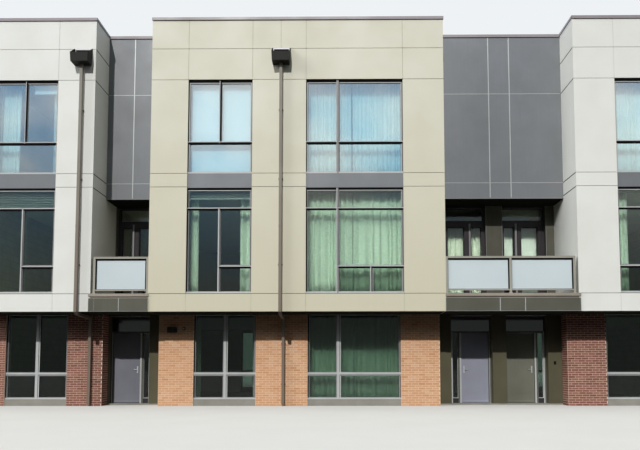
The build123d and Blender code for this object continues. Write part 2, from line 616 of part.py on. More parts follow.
for unit, side in zip(UNITS, DOOR_NAMES):
    with BuildPart() as leaf:
        unit_block(unit, JAMB + LEAF_GAP, JAMB + LEAF_GAP + LEAF_W, LEAF_Y, LEAF_Y + LEAF_T,
                   LEAF_BOT, LEAF_BOT + LEAF_H)
    finish(leaf, "entry_door_" + side)
    with BuildPart() as fittings:
        for face, out in ((LEAF_Y, -1.0), (LEAF_Y + LEAF_T, 1.0)):
            y0, y1 = sorted((face, face + out * 10.0))
            unit_block(unit, HANDLE_U - 22.0, HANDLE_U + 22.0, y0, y1, LEVER_Z - 110.0, LEVER_Z + 110.0)
            y0, y1 = sorted((face + out * 10.0, face + out * 40.0))
            unit_block(unit, HANDLE_U - 10.0, HANDLE_U + 10.0, y0, y1, LEVER_Z - 10.0, LEVER_Z + 10.0)
            y0, y1 = sorted((face + out * 25.0, face + out * 40.0))
            unit_block(unit, HANDLE_U - 110.0, HANDLE_U + 10.0, y0, y1, LEVER_Z - 10.0, LEVER_Z + 10.0)
        for z in HINGE_ZS:
            knuckle(unit, z - KNUCKLE_H / 2, z + KNUCKLE_H / 2, KNUCKLE_R - RUN_GAP)
            unit_block(unit, HINGE_U, HINGE_U + 32.0, LEAF_Y + LEAF_T, LEAF_Y + LEAF_T + 4.0,
                       z - KNUCKLE_H / 2, z + KNUCKLE_H / 2)
    finish(fittings, "door_fittings_" + side)

with BuildPart() as hinge_knuckles:
    for unit in UNITS:
        for z in HINGE_ZS:
            for z0 in (z - KNUCKLE_H * 1.5 - RUN_GAP, z + KNUCKLE_H / 2 + RUN_GAP):
                knuckle(unit, z0, z0 + KNUCKLE_H, KNUCKLE_R)
                unit_block(unit, JAMB, HINGE_U, LEAF_Y + LEAF_T + 1.0, LEAF_Y + LEAF_T + 15.0,
                           z0, z0 + KNUCKLE_H)
finish(hinge_knuckles, "hinge_knuckles")

# Rainwater heads and pipes down the face, back under the overhang and down the brick
with BuildPart() as conductor_heads:
    for x in PIPE_XS:
        for z, cut in ((HEAD_BOT, HEAD_TAPER), (HEAD_BACK, 0.0)):
            with BuildSketch(Plane.XY.offset(z)):
                with Locations((x - X_MID, -(HEAD_D - cut) / 2 - Y_MID)):
                    Rectangle(HEAD_W - 2 * cut, HEAD_D - cut)
        loft()
    with BuildSketch(Plane.YZ) as slope:
        with BuildLine():
            Polyline((-HEAD_D - 50.0 - Y_MID, HEAD_FRONT), (-HEAD_D - Y_MID, HEAD_FRONT),
                     (-Y_MID, HEAD_BACK), (-Y_MID, HEAD_BACK + 50.0),
                     (-HEAD_D - 50.0 - Y_MID, HEAD_BACK + 50.0), close=True)
        make_face()
    extrude(slope.sketch, amount=ROW_W, both=True, mode=Mode.SUBTRACT)
finish(conductor_heads, "conductor_heads")

with BuildPart() as downspouts:
    for x in PIPE_XS:
        turn = BAND_BOT - ELBOW
        a, b = x - PIPE_W / 2, x + PIPE_W / 2
        low = turn - FALL
        block(a, b, -PIPE_FACE, -PIPE_BACK, turn + PIPE_W, HEAD_BOT)
        side_plate(a, b, ((-PIPE_FACE, turn + PIPE_W), (-PIPE_BACK, turn), (BRICK_Y - PIPE_FACE, low),
                          (BRICK_Y - PIPE_FACE, low + PIPE_W), (-PIPE_BACK, turn + PIPE_W)))
        block(a, b, BRICK_Y - PIPE_FACE, BRICK_Y - PIPE_BACK, 40.0, low + PIPE_W)
        for z in (TRANSOM2_LOW, HEAD2 + 210.0, TRANSOM3 + 900.0):
            block(x - CLIP_W / 2, x + CLIP_W / 2, -PIPE_BACK, 0.0, z, z + CLIP_H)
        for z in (GROUND_TRANSOM - 300.0, GROUND_TRANSOM + 900.0):
            block(x - CLIP_W / 2, x + CLIP_W / 2, BRICK_Y - PIPE_BACK, BRICK_Y, z, z + CLIP_H)
finish(downspouts, "downspouts")

# Small fittings on the brick and on the entrance panels
with BuildPart() as wall_lamp:
    block(X_BL + 290.0, X_BL + 565.0, BRICK_Y - 110.0, BRICK_Y, 2150.0, 2315.0)
finish(wall_lamp, "wall_lamp")

with BuildPart() as door_bells:
    with BuildSketch(Plane.XZ.offset(Y_MID - BRICK_Y)):
        with Locations((X_BL + 765.0 - X_MID, 2272.0)):
            Circle(55.0)
    extrude(amount=40.0)
    block(EW_R[1] + UNIT_W + 163.0, EW_R[1] + UNIT_W + 233.0, ENTRY_Y - 25.0, ENTRY_Y, 1205.0, 1305.0)
finish(door_bells, "door_bells")
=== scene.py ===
# %% [markdown]
# # A row of terraced houses, dressed from its CAD frame
# The row is a street front of three storeys: brick at the ground, white and beige clad
# blocks that hang over it, and two recesses with entrances, balconies and grey bays.
# The plain solids come from the CAD frame, in metres, and stay where they are. This lesson
# gives each one a finish and adds what the solids leave out: real bricks, glazing beads,
# curtains, rainwater heads in sheet metal, door fittings, seams and joints.
# Everything is placed from the same millimetre sizes as the solids, through one small
# function, so that a piece lands on the wall that carries it.

# %% Load the frame
import math
import random

import bmesh
import bpy
from mathutils import Matrix, Vector


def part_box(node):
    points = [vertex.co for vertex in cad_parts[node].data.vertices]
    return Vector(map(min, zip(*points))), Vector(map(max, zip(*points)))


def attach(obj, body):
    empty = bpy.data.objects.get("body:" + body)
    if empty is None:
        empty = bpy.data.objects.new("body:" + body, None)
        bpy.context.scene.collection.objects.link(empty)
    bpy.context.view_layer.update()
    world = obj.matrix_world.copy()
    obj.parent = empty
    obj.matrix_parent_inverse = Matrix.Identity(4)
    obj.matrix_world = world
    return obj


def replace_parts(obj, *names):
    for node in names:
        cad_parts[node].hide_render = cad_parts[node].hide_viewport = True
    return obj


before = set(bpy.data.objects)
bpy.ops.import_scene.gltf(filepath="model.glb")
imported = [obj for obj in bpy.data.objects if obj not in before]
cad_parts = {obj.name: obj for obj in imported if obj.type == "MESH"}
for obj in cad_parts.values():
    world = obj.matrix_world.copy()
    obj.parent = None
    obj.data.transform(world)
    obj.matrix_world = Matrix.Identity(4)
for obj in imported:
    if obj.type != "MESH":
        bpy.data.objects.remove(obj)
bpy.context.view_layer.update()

NODES = {o.name: o for o in bpy.data.objects if o.type == "MESH"}

# %% [markdown]
# ## Sizes
# Plans are read in millimetres from the row's left end, from the face of the upper storeys
# back, and from the ground up. `at` turns them to metres in the shared frame. The depth
# of the frame's middle is read off the front of the white panels, so it can't drift.
# Names that end in WL, BL, BR and WR belong to the left white block, the left and right
# end of the beige block, and the right white block. WIN_BN and WIN_BW are the narrow and
# the wide windows of the beige block.

# %% Sizes of the row
LEFT_X, FACE_Y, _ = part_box("white_panels")[0]


def at(x, y, z):
    """A point of the plan, in millimetres, as a point of the scene."""
    return Vector((LEFT_X + x / 1000, FACE_Y + y / 1000, z / 1000))


# Along the row: corners of the cladding, corners of the brickwork, party walls, openings
X_WL, X_BL, X_BR, X_WR, ROW_W = 3700, 5320, 13660, 17360, 22000
C_WL, C_BL, C_BR, C_WR = 3675, 5345, 13635, 17385
PARTY_LEFT, PARTY_BEIGE, PARTY_NICHE = 4510, 9020, 15510
WIN_WL, WIN_BN, WIN_BW, WIN_WR = (805, 2640), (6375, 8210), (9740, 12495), (18520, 21275)
COLUMNS = (WIN_WL, WIN_BN, WIN_BW, WIN_WR)
PIPE_XS = (3338, 9028)
DECK_ENDS = ((X_WL - 45, X_BL + 15), (X_BR - 15, X_WR + 45))
# Back from the face: walls, then thicknesses and settings
BRICK_Y, BAY_Y, ENTRY_Y, BALCONY_Y, DEPTH = 1050, 1000, 1500, 1850, 10000
WALL_T, BRICK_RETURN, FRAME_SET, FRAME_D, DOOR_SET = 300, 450, 50, 80, 190
# Up from the ground, storey by storey
SLAB_TOP, SILL1, TRANSOM1, BAND_BOT, FLOOR2_BOT = 40, 190, 910, 2690, 2750
FLOOR2_TOP, DECK_TOP, SILL2, TRANSOM2_LOW, TRANSOM2_UP, HEAD2 = 3140, 3192, 3200, 3980, 5620, 6210
BAY_BOT, FLOOR3_BOT, FLOOR3_TOP, SILL3, TRANSOM3, HEAD3 = 6140, 6190, 6540, 6620, 7520, 9340
SEAM_TOP, ROOF_TOP, WALL_TOP, COPING_TOP = 10260, 10340, 11120, 11190
PIPE_OFF, PIPE_DEEP = 34, 102
print("front face at y", round(FACE_Y, 3), "left end at x", round(LEFT_X, 3))

# %% [markdown]
# ## Camera
# The photograph was taken from the far side of the street, a little left of the row's
# middle, with the lens tilted up. The lens length, place and tilt come from a fit of wall
# corners and panel joints. The shift keeps the frame where the photograph has it.


# %% Camera
def put_in_scene(name, data):
    """An object around its data, linked to the scene."""
    made = bpy.data.objects.new(name, data)
    bpy.context.collection.objects.link(made)
    return made


camera = put_in_scene("street_camera", bpy.data.cameras.new("street_camera"))
camera.data.lens, camera.data.sensor_width = 34.43, 36.0
camera.data.shift_x, camera.data.shift_y = -0.0242, 0.1578
camera.location = at(10697, -17000, 1185)
camera.rotation_euler = (math.radians(93.68), math.radians(0.05), math.radians(0.42))
bpy.context.scene.camera = camera
print("camera", [round(v, 3) for v in camera.location])

# %% [markdown]
# ## Nodes, colours and meshes
# A few helpers carry the whole file. `hexa` turns a written sRGB colour into the linear
# one that Blender works in. `node` adds one shader or geometry node with its settings, and
# `feed` gives its inputs a value or a link. `mesh_piece` makes a mesh object whose place is
# in its mesh.


# %% Helpers
def hexa(text):
    """An sRGB colour such as D6D3BF, as linear red, green, blue and 1."""
    shares = [int(text[i:i + 2], 16) / 255 for i in (0, 2, 4)]
    return (*(c / 12.92 if c <= 0.04045 else ((c + 0.055) / 1.055) ** 2.4 for c in shares), 1.0)


def feed(made, inputs):
    """Gives a node's inputs a value, a socket, or the first output of another node."""
    for key, value in inputs.items():
        if isinstance(value, bpy.types.Node):
            value = value.outputs[0]
        if isinstance(value, bpy.types.NodeSocket):
            made.id_data.links.new(value, made.inputs[key])
        else:
            made.inputs[key].default_value = value


def node(tree, kind, inputs=None, **settings):
    """Adds a node with its settings, and feeds its inputs, by name or by number."""
    made = tree.nodes.new(kind)
    for key, value in settings.items():
        setattr(made, key, value)
    feed(made, inputs or {})
    return made


def mesh_piece(name, verts, faces, material, ride="house_row"):
    """A piece of the row: its mesh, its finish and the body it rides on."""
    mesh = bpy.data.meshes.new(name)
    mesh.from_pydata([tuple(v) for v in verts], [], faces)
    mesh.validate()
    mesh.materials.append(material)
    piece = put_in_scene(name, mesh)
    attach(piece, ride)
    return piece


print("white", [round(v, 2) for v in hexa("E3E5E0")[:3]])

# %% [markdown]
# ## A kit of solid shapes
# Trim on a house is mostly folded or extruded: straight lengths with chamfered edges. A
# small collector gathers such lengths in one list, so that like pieces become one object.
# Bars get a real chamfer, because a sharp edge never catches the light as metal does.


# %% Shape kit
class Kit:
    """Collects closed shapes, in plan millimetres, that become one piece."""

    def __init__(self):
        self.verts, self.faces = [], []

    def add(self, verts, faces):
        """Takes in a closed shape: its corners in plan millimetres, and its faces."""
        start = len(self.verts)
        self.verts += [at(*v) for v in verts]
        self.faces += [[start + i for i in f] for f in faces]

    def bar(self, x0, x1, y0, y1, z0, z1, chamfer=2.0):
        """A box whose twelve edges are cut: each corner has one point on each of its faces."""
        c = min(chamfer, (x1 - x0) / 3, (y1 - y0) / 3, (z1 - z0) / 3)
        verts, faces = [], []
        for sx, sy, sz in CORNERS:
            x, y, z = (x0, x1)[sx], (y0, y1)[sy], (z0, z1)[sz]
            ix, iy, iz = x + c * (1 - 2 * sx), y + c * (1 - 2 * sy), z + c * (1 - 2 * sz)
            verts += [(x, iy, iz), (ix, y, iz), (ix, iy, z)]

        def v(sx, sy, sz, axis):
            """The number of a corner's point on the face across an axis."""
            return (sx * 4 + sy * 2 + sz) * 3 + axis

        for s in (0, 1):
            faces.append([v(s, 0, 0, 0), v(s, 1, 0, 0), v(s, 1, 1, 0), v(s, 0, 1, 0)])
            faces.append([v(0, s, 0, 1), v(1, s, 0, 1), v(1, s, 1, 1), v(0, s, 1, 1)])
            faces.append([v(0, 0, s, 2), v(1, 0, s, 2), v(1, 1, s, 2), v(0, 1, s, 2)])
            for t in (0, 1):
                faces.append([v(s, t, 0, 0), v(s, t, 1, 0), v(s, t, 1, 1), v(s, t, 0, 1)])
                faces.append([v(s, 0, t, 0), v(s, 1, t, 0), v(s, 1, t, 2), v(s, 0, t, 2)])
                faces.append([v(0, s, t, 1), v(1, s, t, 1), v(1, s, t, 2), v(0, s, t, 2)])
        faces += [[v(*corner, axis) for axis in range(3)] for corner in CORNERS]
        self.add(verts, faces)

    def between(self, first, last):
        """Two like outlines joined by sides and closed at both ends."""
        n = len(first)
        sides = [[i, (i + 1) % n, n + (i + 1) % n, n + i] for i in range(n)]
        self.add([*first, *last], [*sides, list(range(n))[::-1], list(range(n, 2 * n))])

    def prism(self, outline, x0, x1):
        """A profile of depth and height, run along the row."""
        self.between(*([(x, y, z) for y, z in outline] for x in (x0, x1)))

    def slab(self, corners, shift):
        """A thin plate: its corners, and the same corners moved by shift."""
        self.between(corners, [Vector(c) + Vector(shift) for c in corners])

    def tube(self, a, b, radius, sides=12):
        """A round bar between two points."""
        turn = (Vector(b) - Vector(a)).to_track_quat("Z", "Y").to_matrix()
        angles = [2 * math.pi * i / sides for i in range(sides)]
        ring = [turn @ Vector((radius * math.cos(t), radius * math.sin(t), 0)) for t in angles]
        self.between(*([Vector(end) + p for p in ring] for end in (a, b)))

    def bead(self, x0, x1, z0, z1, y_out, y_in, wide):
        """A mitred frame inside an opening, its face splayed from front edge down to the glass."""
        verts = []
        for y, d in ((y_out, 0), (y_in, wide), (y_in, 0)):
            verts += [(x0 + d, y, z0 + d), (x1 - d, y, z0 + d), (x1 - d, y, z1 - d), (x0 + d, y, z1 - d)]
        faces = []
        for near, far in ((0, 4), (4, 8), (8, 0)):
            for i, j in ((0, 1), (1, 2), (2, 3), (3, 0)):
                faces.append([near + i, near + j, far + j, far + i])
        self.add(verts, faces)

    def piece(self, name, material, ride="house_row", slot=None):
        """Makes the piece, with its faces outwards."""
        made = mesh_piece(name, self.verts, self.faces, material, ride)
        shell = bmesh.new()
        shell.from_mesh(made.data)
        bmesh.ops.recalc_face_normals(shell, faces=shell.faces)
        shell.to_mesh(made.data)
        shell.free()
        print(name, "faces", len(made.data.polygons))
        return made


CORNERS = [(x, y, z) for x in (0, 1) for y in (0, 1) for z in (0, 1)]
print("corners of a bar", len(CORNERS))

# %% [markdown]
# ## Finishes
# Each finish starts from the real material. A wall panel, a coping and a rail are the same
# stuff, coated aluminium, and differ in colour, gloss and grime, so one function builds
# that family. Its pattern is in object coordinates, in metres, so a scale of 1000 / size in
# millimetres gives features of that size.


# %% Coated metal
def start_material(name):
    """A new material: itself, its tree, shader, place on the piece, and output."""
    material = bpy.data.materials.new(name)
    material.use_nodes = True
    tree = material.node_tree
    tree.nodes.clear()
    shader = node(tree, "ShaderNodeBsdfPrincipled")
    out = node(tree, "ShaderNodeOutputMaterial", {"Surface": shader})
    return material, tree, shader, node(tree, "ShaderNodeTexCoord").outputs["Object"], out


def mottled(tree, place, scale, detail, limits, first, second, most=1.0):
    """Cloudy patches of a second colour over the first, and the noise that they come from."""
    noise = node(tree, "ShaderNodeTexNoise", {"Vector": place, "Scale": scale, "Detail": detail})
    share = node(tree, "ShaderNodeMapRange", {"Value": noise, 1: limits[0], 2: limits[1], 4: most})
    mixed = node(tree, "ShaderNodeMix", {0: share, 6: first, 7: second}, data_type="RGBA")
    return mixed.outputs[2], noise


def coated_metal(name, clean, grimy, rough=0.42, metallic=0.0, grain_mm=2.5, bump=0.05,
                 streak=0.35, by_height=None, sheen=0.5):
    """Coated sheet: large soft patches of grime, upright rain streaks and a fine orange peel."""
    material, tree, shader, place, _ = start_material(name)
    cloud_mm = 900
    colour, cloud = mottled(tree, place, 1000 / cloud_mm, 4.0, (0.35, 0.7), hexa(clean), hexa(grimy))
    if by_height:
        low, high, tint = by_height
        rise = node(tree, "ShaderNodeSeparateXYZ", {"Vector": place}).outputs["Z"]
        foot = node(tree, "ShaderNodeMapRange", {"Value": rise, 1: low, 2: high, 3: 1.0, 4: 0.0})
        colour = node(tree, "ShaderNodeMix", {0: foot, 6: colour, 7: hexa(tint)},
                      data_type="RGBA").outputs[2]
    narrow, long = 9.0, 0.35
    drawn = node(tree, "ShaderNodeMapping", {"Vector": place, "Scale": (narrow, narrow, long)})
    colour, _ = mottled(tree, drawn, 2.2, 5.0, (0.45, 0.75), colour, hexa(grimy), streak)
    peel = node(tree, "ShaderNodeTexNoise", {"Vector": place, "Scale": 1000 / grain_mm, "Detail": 2.0})
    feed(shader, {
        "Base Color": colour, "Metallic": metallic, "Specular IOR Level": sheen,
        "Normal": node(tree, "ShaderNodeBump", {"Height": peel, "Strength": bump, "Distance": 0.002}),
        "Roughness": node(tree, "ShaderNodeMapRange", {
            "Value": cloud, 1: 0.2, 2: 0.8, 3: rough - 0.06, 4: rough + 0.1})})
    return material


# White and beige panels: satin polyester coat on aluminium sheet, nearly flat in colour.
white_panel = coated_metal("satin_coated_panel_white", "E2E4E0", "DCDED8", rough=0.55, streak=0.12)
beige_panel = coated_metal("satin_coated_panel_beige", "D5D4C4", "D0CEBC", rough=0.55, streak=0.15,
                           by_height=(3.0, 9.5, "C9C5AE"))
white_joint = coated_metal("joint_profile_white", "CDCFCA", "C6C8C3", rough=0.6, sheen=0.2)
beige_joint = coated_metal("joint_profile_beige", "BDBCAA", "B5B4A1", rough=0.6, sheen=0.2)
# Bay panels: grey anodised aluminium, a darker sheet with a soft sheen.
grey_panel = coated_metal("anodised_aluminium_panel_grey", "727579", "686B6E", metallic=0.1)
coping_metal = coated_metal("folded_aluminium_coping", "918A8D", "857C80", rough=0.4, grain_mm=4,
                            streak=0.5)
strip_metal = coated_metal("mill_finish_aluminium_strip", "B0B3B0", "A3A6A3", rough=0.35, metallic=0.3)
rail_metal = coated_metal("powder_coated_rail_taupe", "A3A197", "959388", rough=0.5, sheen=0.3)
# Window bars: dark frames, grey and mauve anodised sections, and light cap strips. The pale colour of the
# caps paints the sunlit faces of the bars, and the mauve strips right of each mullion paint its shaded side.
frame_dark = coated_metal("powder_coated_frame_dark", "3A3639", "2E2A2D", rough=0.5, sheen=0.2)
frame_grey = coated_metal("anodised_window_bar_grey", "8C8D8E", "808182", rough=0.45, sheen=0.3)
jamb_mauve = coated_metal("anodised_window_jamb_mauve", "6A6668", "5E5A5C", rough=0.45, sheen=0.3)
# Pale finish of the blind rollers and hems, the entrance beads and the inner window sections. On the window
# caps the same pale colour is a painted highlight for the sunlit faces of the bars.
light_bar_and_highlight = coated_metal("light_anodised_bar_and_painted_highlight", "C0C3C2", "B3B7B6", rough=0.45, sheen=0.3)
# Rainwater goods, balconies and soffits: painted sheet, matt where it never sees rain.
gutter_dark = coated_metal("painted_sheet_metal_umber", "1F1D18", "181712", rough=0.5, sheen=0.14)
pipe_grey = coated_metal("painted_downpipe_taupe", "8B8880", "7D7870", rough=0.5, sheen=0.25,
                         by_height=(2.0, 8.0, "776A5E"))
fascia_olive = coated_metal("coated_fascia_olive", "56564C", "4B4B41", rough=0.5, sheen=0.3)
deck_cap = coated_metal("coated_deck_edge_taupe", "989084", "857D72", rough=0.5)
# Soffit board: a dark board, drawn near black so that its colour also paints the deep shade under the
# overhangs, bays and balconies.
soffit_board = coated_metal("matt_soffit_board_painted_shade", "1B1A15", "151510", rough=0.8, sheen=0.05)
# Entrances: paint with little gloss, in three greys.
entry_grey = coated_metal("painted_door_grey", "83858F", "797B85", rough=0.6, sheen=0.08)
entry_blue = coated_metal("painted_door_blue_grey", "9A9DAC", "9194A2", rough=0.6, sheen=0.08)
entry_olive = coated_metal("painted_door_olive_grey", "77786D", "6D6E63", rough=0.6, sheen=0.08)
frame_entry = coated_metal("painted_entry_frame_grey", "6B6B65", "60605A", rough=0.6, sheen=0.1)
header_dark = coated_metal("coated_wall_sheet_charcoal", "5D5C53", "525148", rough=0.6, sheen=0.08)
entry_board = coated_metal("laminate_wall_board_olive", "605D4B", "565343", rough=0.7, sheen=0.08)
# Small parts: rubber, zinc, cast and turned metal, and smooth plates.
# Black rubber seal. The same black paints shade under and beside the window bars, the head's shadow at the
# top of each window, the shaded sides of the guard posts and the shade in the return joints.
black_seal_and_shade = coated_metal("rubber_seal_and_painted_shade", "141214", "100E10", rough=0.8, bump=0.02, sheen=0.05)
zinc_bright = coated_metal("bright_zinc_sheet", "C6C4CA", "BCBAC0", rough=0.4, metallic=0.1, sheen=0.3)
lamp_black = coated_metal("textured_black_housing", "1A1816", "141210", rough=0.7, grain_mm=1.2,
                          bump=0.15, sheen=0.1)
handle_steel = coated_metal("satin_stainless_steel", "C9C9C6", "BDBDBA", rough=0.3, metallic=1.0,
                            streak=0.1)
opal_plate = coated_metal("opal_acrylic_plate", "DCDCD6", "D2D2CC", rough=0.35, streak=0.1)
# Black glass over the top light of each entrance: a glossy pane, opaque so that it hides the lighter frame
# behind it; its black paints the porch's shade there.
black_overhead_glass_and_shade = coated_metal("black_glass_painted_shade", "171B1A", "121615", rough=0.07, bump=0.0,
                              sheen=0.6)
bronze_dark = coated_metal("oil_rubbed_bronze", "33271D", "281E16", rough=0.5, metallic=0.4, sheen=0.2)
print("coated finishes", len(bpy.data.materials))

# %% [markdown]
# ## Masonry
# A brick is fired clay: each one has its own tone, with sandy pits a millimetre or two
# across. The tone is stored by the geometry that lays the brick, in an attribute, so that the
# colour belongs to the brick and not to a picture. Mortar, concrete and blockwork are the
# same idea at other scales.


# %% Masonry finishes
def fired_clay(name, tones, pit_mm=3.0):
    """Brick: its own tone out of a row of tones, sandy patches and pits."""
    material, tree, shader, place, _ = start_material(name)
    tone = node(tree, "ShaderNodeAttribute", attribute_name="tone").outputs["Fac"]
    spread = node(tree, "ShaderNodeValToRGB", {"Fac": tone})
    spread.color_ramp.elements[0].color = hexa(tones[0])
    spread.color_ramp.elements[1].color = hexa(tones[-1])
    for i, t in enumerate(tones[1:-1], 1):
        spread.color_ramp.elements.new(i / (len(tones) - 1)).color = hexa(t)
    sand_mm = pit_mm * 8
    colour, _ = mottled(tree, place, 1000 / sand_mm, 6.0, (0.4, 0.75), spread, hexa(tones[0]), 0.35)
    pits = node(tree, "ShaderNodeTexNoise", {"Vector": place, "Scale": 1000 / pit_mm, "Detail": 3.0})
    feed(shader, {
        "Base Color": colour, "Roughness": 0.88, "Specular IOR Level": 0.15,
        "Normal": node(tree, "ShaderNodeBump", {"Height": pits, "Strength": 0.5, "Distance": 0.002})})
    return material


def mineral(name, pale, dark, grain_mm=4.0, cloud_mm=400, rough=0.9, joints=None):
    """Cement, plaster, felt: patchy, matt, fine grain. joints gives block length, height and tone."""
    material, tree, shader, place, _ = start_material(name)
    colour, _ = mottled(tree, place, 1000 / cloud_mm, 5.0, (0.3, 0.72), hexa(pale), hexa(dark))
    height = node(tree, "ShaderNodeTexNoise", {"Vector": place, "Scale": 1000 / grain_mm, "Detail": 3.0})
    if joints:
        long, high, tone = joints
        part = node(tree, "ShaderNodeSeparateXYZ", {"Vector": place}).outputs
        along = node(tree, "ShaderNodeMath", {0: part["X"], 1: part["Y"]}, operation="ADD")
        flat = node(tree, "ShaderNodeCombineXYZ", {"X": along, "Y": part["Z"]})
        joint = node(tree, "ShaderNodeTexBrick", {
            "Vector": flat, "Scale": 1.0, "Brick Width": long / 1000, "Row Height": high / 1000,
            "Mortar Size": 0.005, "Mortar Smooth": 0.2}).outputs["Fac"]
        colour = node(tree, "ShaderNodeMix", {0: joint, 6: colour, 7: hexa(tone)},
                      data_type="RGBA").outputs[2]
        height = node(tree, "ShaderNodeMath", {0: height, 1: joint}, operation="SUBTRACT")
    feed(shader, {
        "Base Color": colour, "Roughness": rough, "Specular IOR Level": 0.2,
        "Normal": node(tree, "ShaderNodeBump", {"Height": height, "Strength": 0.35, "Distance": 0.003})})
    return material


# Fired clay: matt and sandy, and no two bricks quite alike. Its pits are drawn 3 mm wide, a
# little coarser than real ones, so that they show.
brick_orange_clay = fired_clay("fired_clay_brick_orange", ("D09D77", "DCAC88", "D4A580", "E1BA99", "CA956E"))
brick_red_clay = fired_clay("fired_clay_brick_red", ("7E554A", "966758", "8A5E52", "A27567", "744E43"))
# Lime mortar: pale and dry, tinted by its sand. Concrete and plaster are smoother and greyer.
mortar_pale = mineral("lime_mortar_pale", "F6E2C6", "EED6B8", grain_mm=2, cloud_mm=150)
mortar_rose = mineral("lime_mortar_rose", "F2DECC", "E6CEBB", grain_mm=2, cloud_mm=150)
concrete = mineral("cast_concrete", "9C9A92", "8C8A82", grain_mm=3)
# Blocks of 440 by 215 mm under thin paint, and felt with its fine mineral grain.
blockwork = mineral("painted_blockwork", "B9B7AE", "ABA9A0", joints=(440, 215, "96948C"))
plaster = mineral("skimmed_plaster", "D8D6CE", "CFCDC5", grain_mm=1.5, cloud_mm=700, rough=0.8)
felt = mineral("mineral_roofing_felt", "7C7B76", "6C6B66", grain_mm=1.5, cloud_mm=500,
               joints=(8000, 1000, "5C5B57"))
backing = mineral("fibre_board_backing_black", "26241F", "1E1C18", grain_mm=2, cloud_mm=300)
print("finishes with masonry", len(bpy.data.materials))

# %% [markdown]
# ## Glass
# The panes are sealed units with a light tint, bluer on the third storey where they carry a
# sun coating. The shader is a clear solid glass; for the rays that lamps send it steps aside, so
# that the sun reaches the curtains behind. A higher IOR stands for the coating, which throws back
# more of the sky than bare glass.


# %% Glass finishes
def tinted_glass(name, tint, shade, ior):
    """Clear tinted glass; lamp light passes it straight on, less and less the more it slants."""
    material, tree, shader, place, out = start_material(name)
    waves_per_m = 1.3
    wave = node(tree, "ShaderNodeTexNoise", {"Vector": place, "Scale": waves_per_m, "Detail": 1.0})
    feed(shader, {
        "Base Color": hexa(tint), "Transmission Weight": 1.0, "Roughness": 0.0, "IOR": ior,
        "Normal": node(tree, "ShaderNodeBump", {"Height": wave, "Strength": 0.04, "Distance": 0.02})})
    facing = node(tree, "ShaderNodeLayerWeight", {"Blend": 0.5}).outputs["Facing"]
    slant = node(tree, "ShaderNodeMapRange", {"Value": facing, 1: 0.45, 2: 0.68})
    thrown_back = (0.05, 0.06, 0.055, 1)
    passed = node(tree, "ShaderNodeMix", {0: slant, 6: hexa(shade), 7: thrown_back},
                  data_type="RGBA").outputs[2]
    through = node(tree, "ShaderNodeBsdfTransparent", {"Color": passed})
    lamp = node(tree, "ShaderNodeLightPath").outputs["Is Shadow Ray"]
    feed(out, {"Surface": node(tree, "ShaderNodeMixShader", {0: lamp, 1: shader, 2: through})})
    return material


def frosted_glass(name, body, cloudy, rough):
    """Glass with a milky layer inside: most light stops in the layer and scatters."""
    material, tree, shader, place, _ = start_material(name)
    colour, _ = mottled(tree, place, 0.9, 2.0, (0.0, 1.0), hexa(body), hexa(cloudy))
    feed(shader, {"Base Color": colour, "Transmission Weight": 0.18, "Roughness": rough, "IOR": 1.45,
                  "Coat Weight": 0.4, "Coat Roughness": 0.05})
    return material


# A body tint gives the second storey's panes their green; the lowest are laminated, and deeper.
glass_green = tinted_glass("tinted_sealed_glass_green", "CAD9D2", "D0DAD2", 1.6)
glass_deep = tinted_glass("laminated_safety_glass_deep", "A0B4A8", "BCC8C0", 1.5)
glass_blue = tinted_glass("coated_sealed_glass_blue", "CADFE6", "D3E4EA", 2.9)
# The ground storey's panes lie in shade, and a lower IOR keeps what they throw back faint.
glass_dark = tinted_glass("tinted_sealed_glass_ground", "8FA198", "9FB0A8", 1.35)
glass_door = tinted_glass("clear_door_glass", "DCE3DC", "DCE4DD", 1.45)
glass_frost = frosted_glass("laminated_frosted_glass", "DEEAEF", "CFDDE3", 0.5)
print("finishes with glass", len(bpy.data.materials))

# %% [markdown]
# ## Finish every solid
# Each solid of the frame keeps its shape and takes its finish. The wall behind the rainscreen
# panels, which shows only in their joints, is black board; the ground floor and the sills are
# concrete; the party walls, which end the row, are painted blockwork.

# %% Assign finishes to the solids
FINISH = {name: material for material, names in (
    (concrete, "ground_floor_slab window_sills"), (plaster, "second_floor third_floor"), (felt, "roof_deck"),
    (blockwork, "party_walls_lower party_walls_upper"), (mortar_rose, "brick_red"),
    (mortar_pale, "brick_orange"), (backing, "wall_bands wall_piers return_walls bay_walls"),
    (white_panel, "white_panels"), (beige_panel, "beige_panels"), (grey_panel, "grey_panels"),
    (frame_grey, "ground_windows upper_windows"), (glass_dark, "ground_glass entry_glass"),
    (glass_blue, "upper_glass"), (coping_metal, "copings"), (soffit_board, "soffits"),
    (deck_cap, "balcony_decks"), (fascia_olive, "balcony_fascias"), (header_dark, "balcony_wall_panels"),
    (rail_metal, "guard_posts guard_rails"), (glass_frost, "guard_glass"),
    (frame_dark, "balcony_doors entry_rails"), (glass_door, "balcony_door_glass"),
    (frame_entry, "entry_posts"), (entry_board, "entry_panels"), (entry_grey, "entry_door_left"),
    (entry_blue, "entry_door_middle"), (entry_olive, "entry_door_right"), (pipe_grey, "downspouts"),
    (strip_metal, "hinge_knuckles door_fittings_left door_fittings_middle door_fittings_right door_bells"),
    (gutter_dark, "conductor_heads wall_lamp")) for name in names.split()}
for name, material in FINISH.items():
    NODES[name].data.materials.clear()
    NODES[name].data.materials.append(material)
print("finished solids", len(FINISH), "of", len(NODES))

# %% [markdown]
# ## Rules in geometry nodes
# What repeats is written as a rule: how many, how far apart and how large. Such a tree has
# named inputs for its sizes, works out a place and a size for each box from the box's number,
# and ends with real boxes that carry a finish. Bricks and soffit boards are both made so.


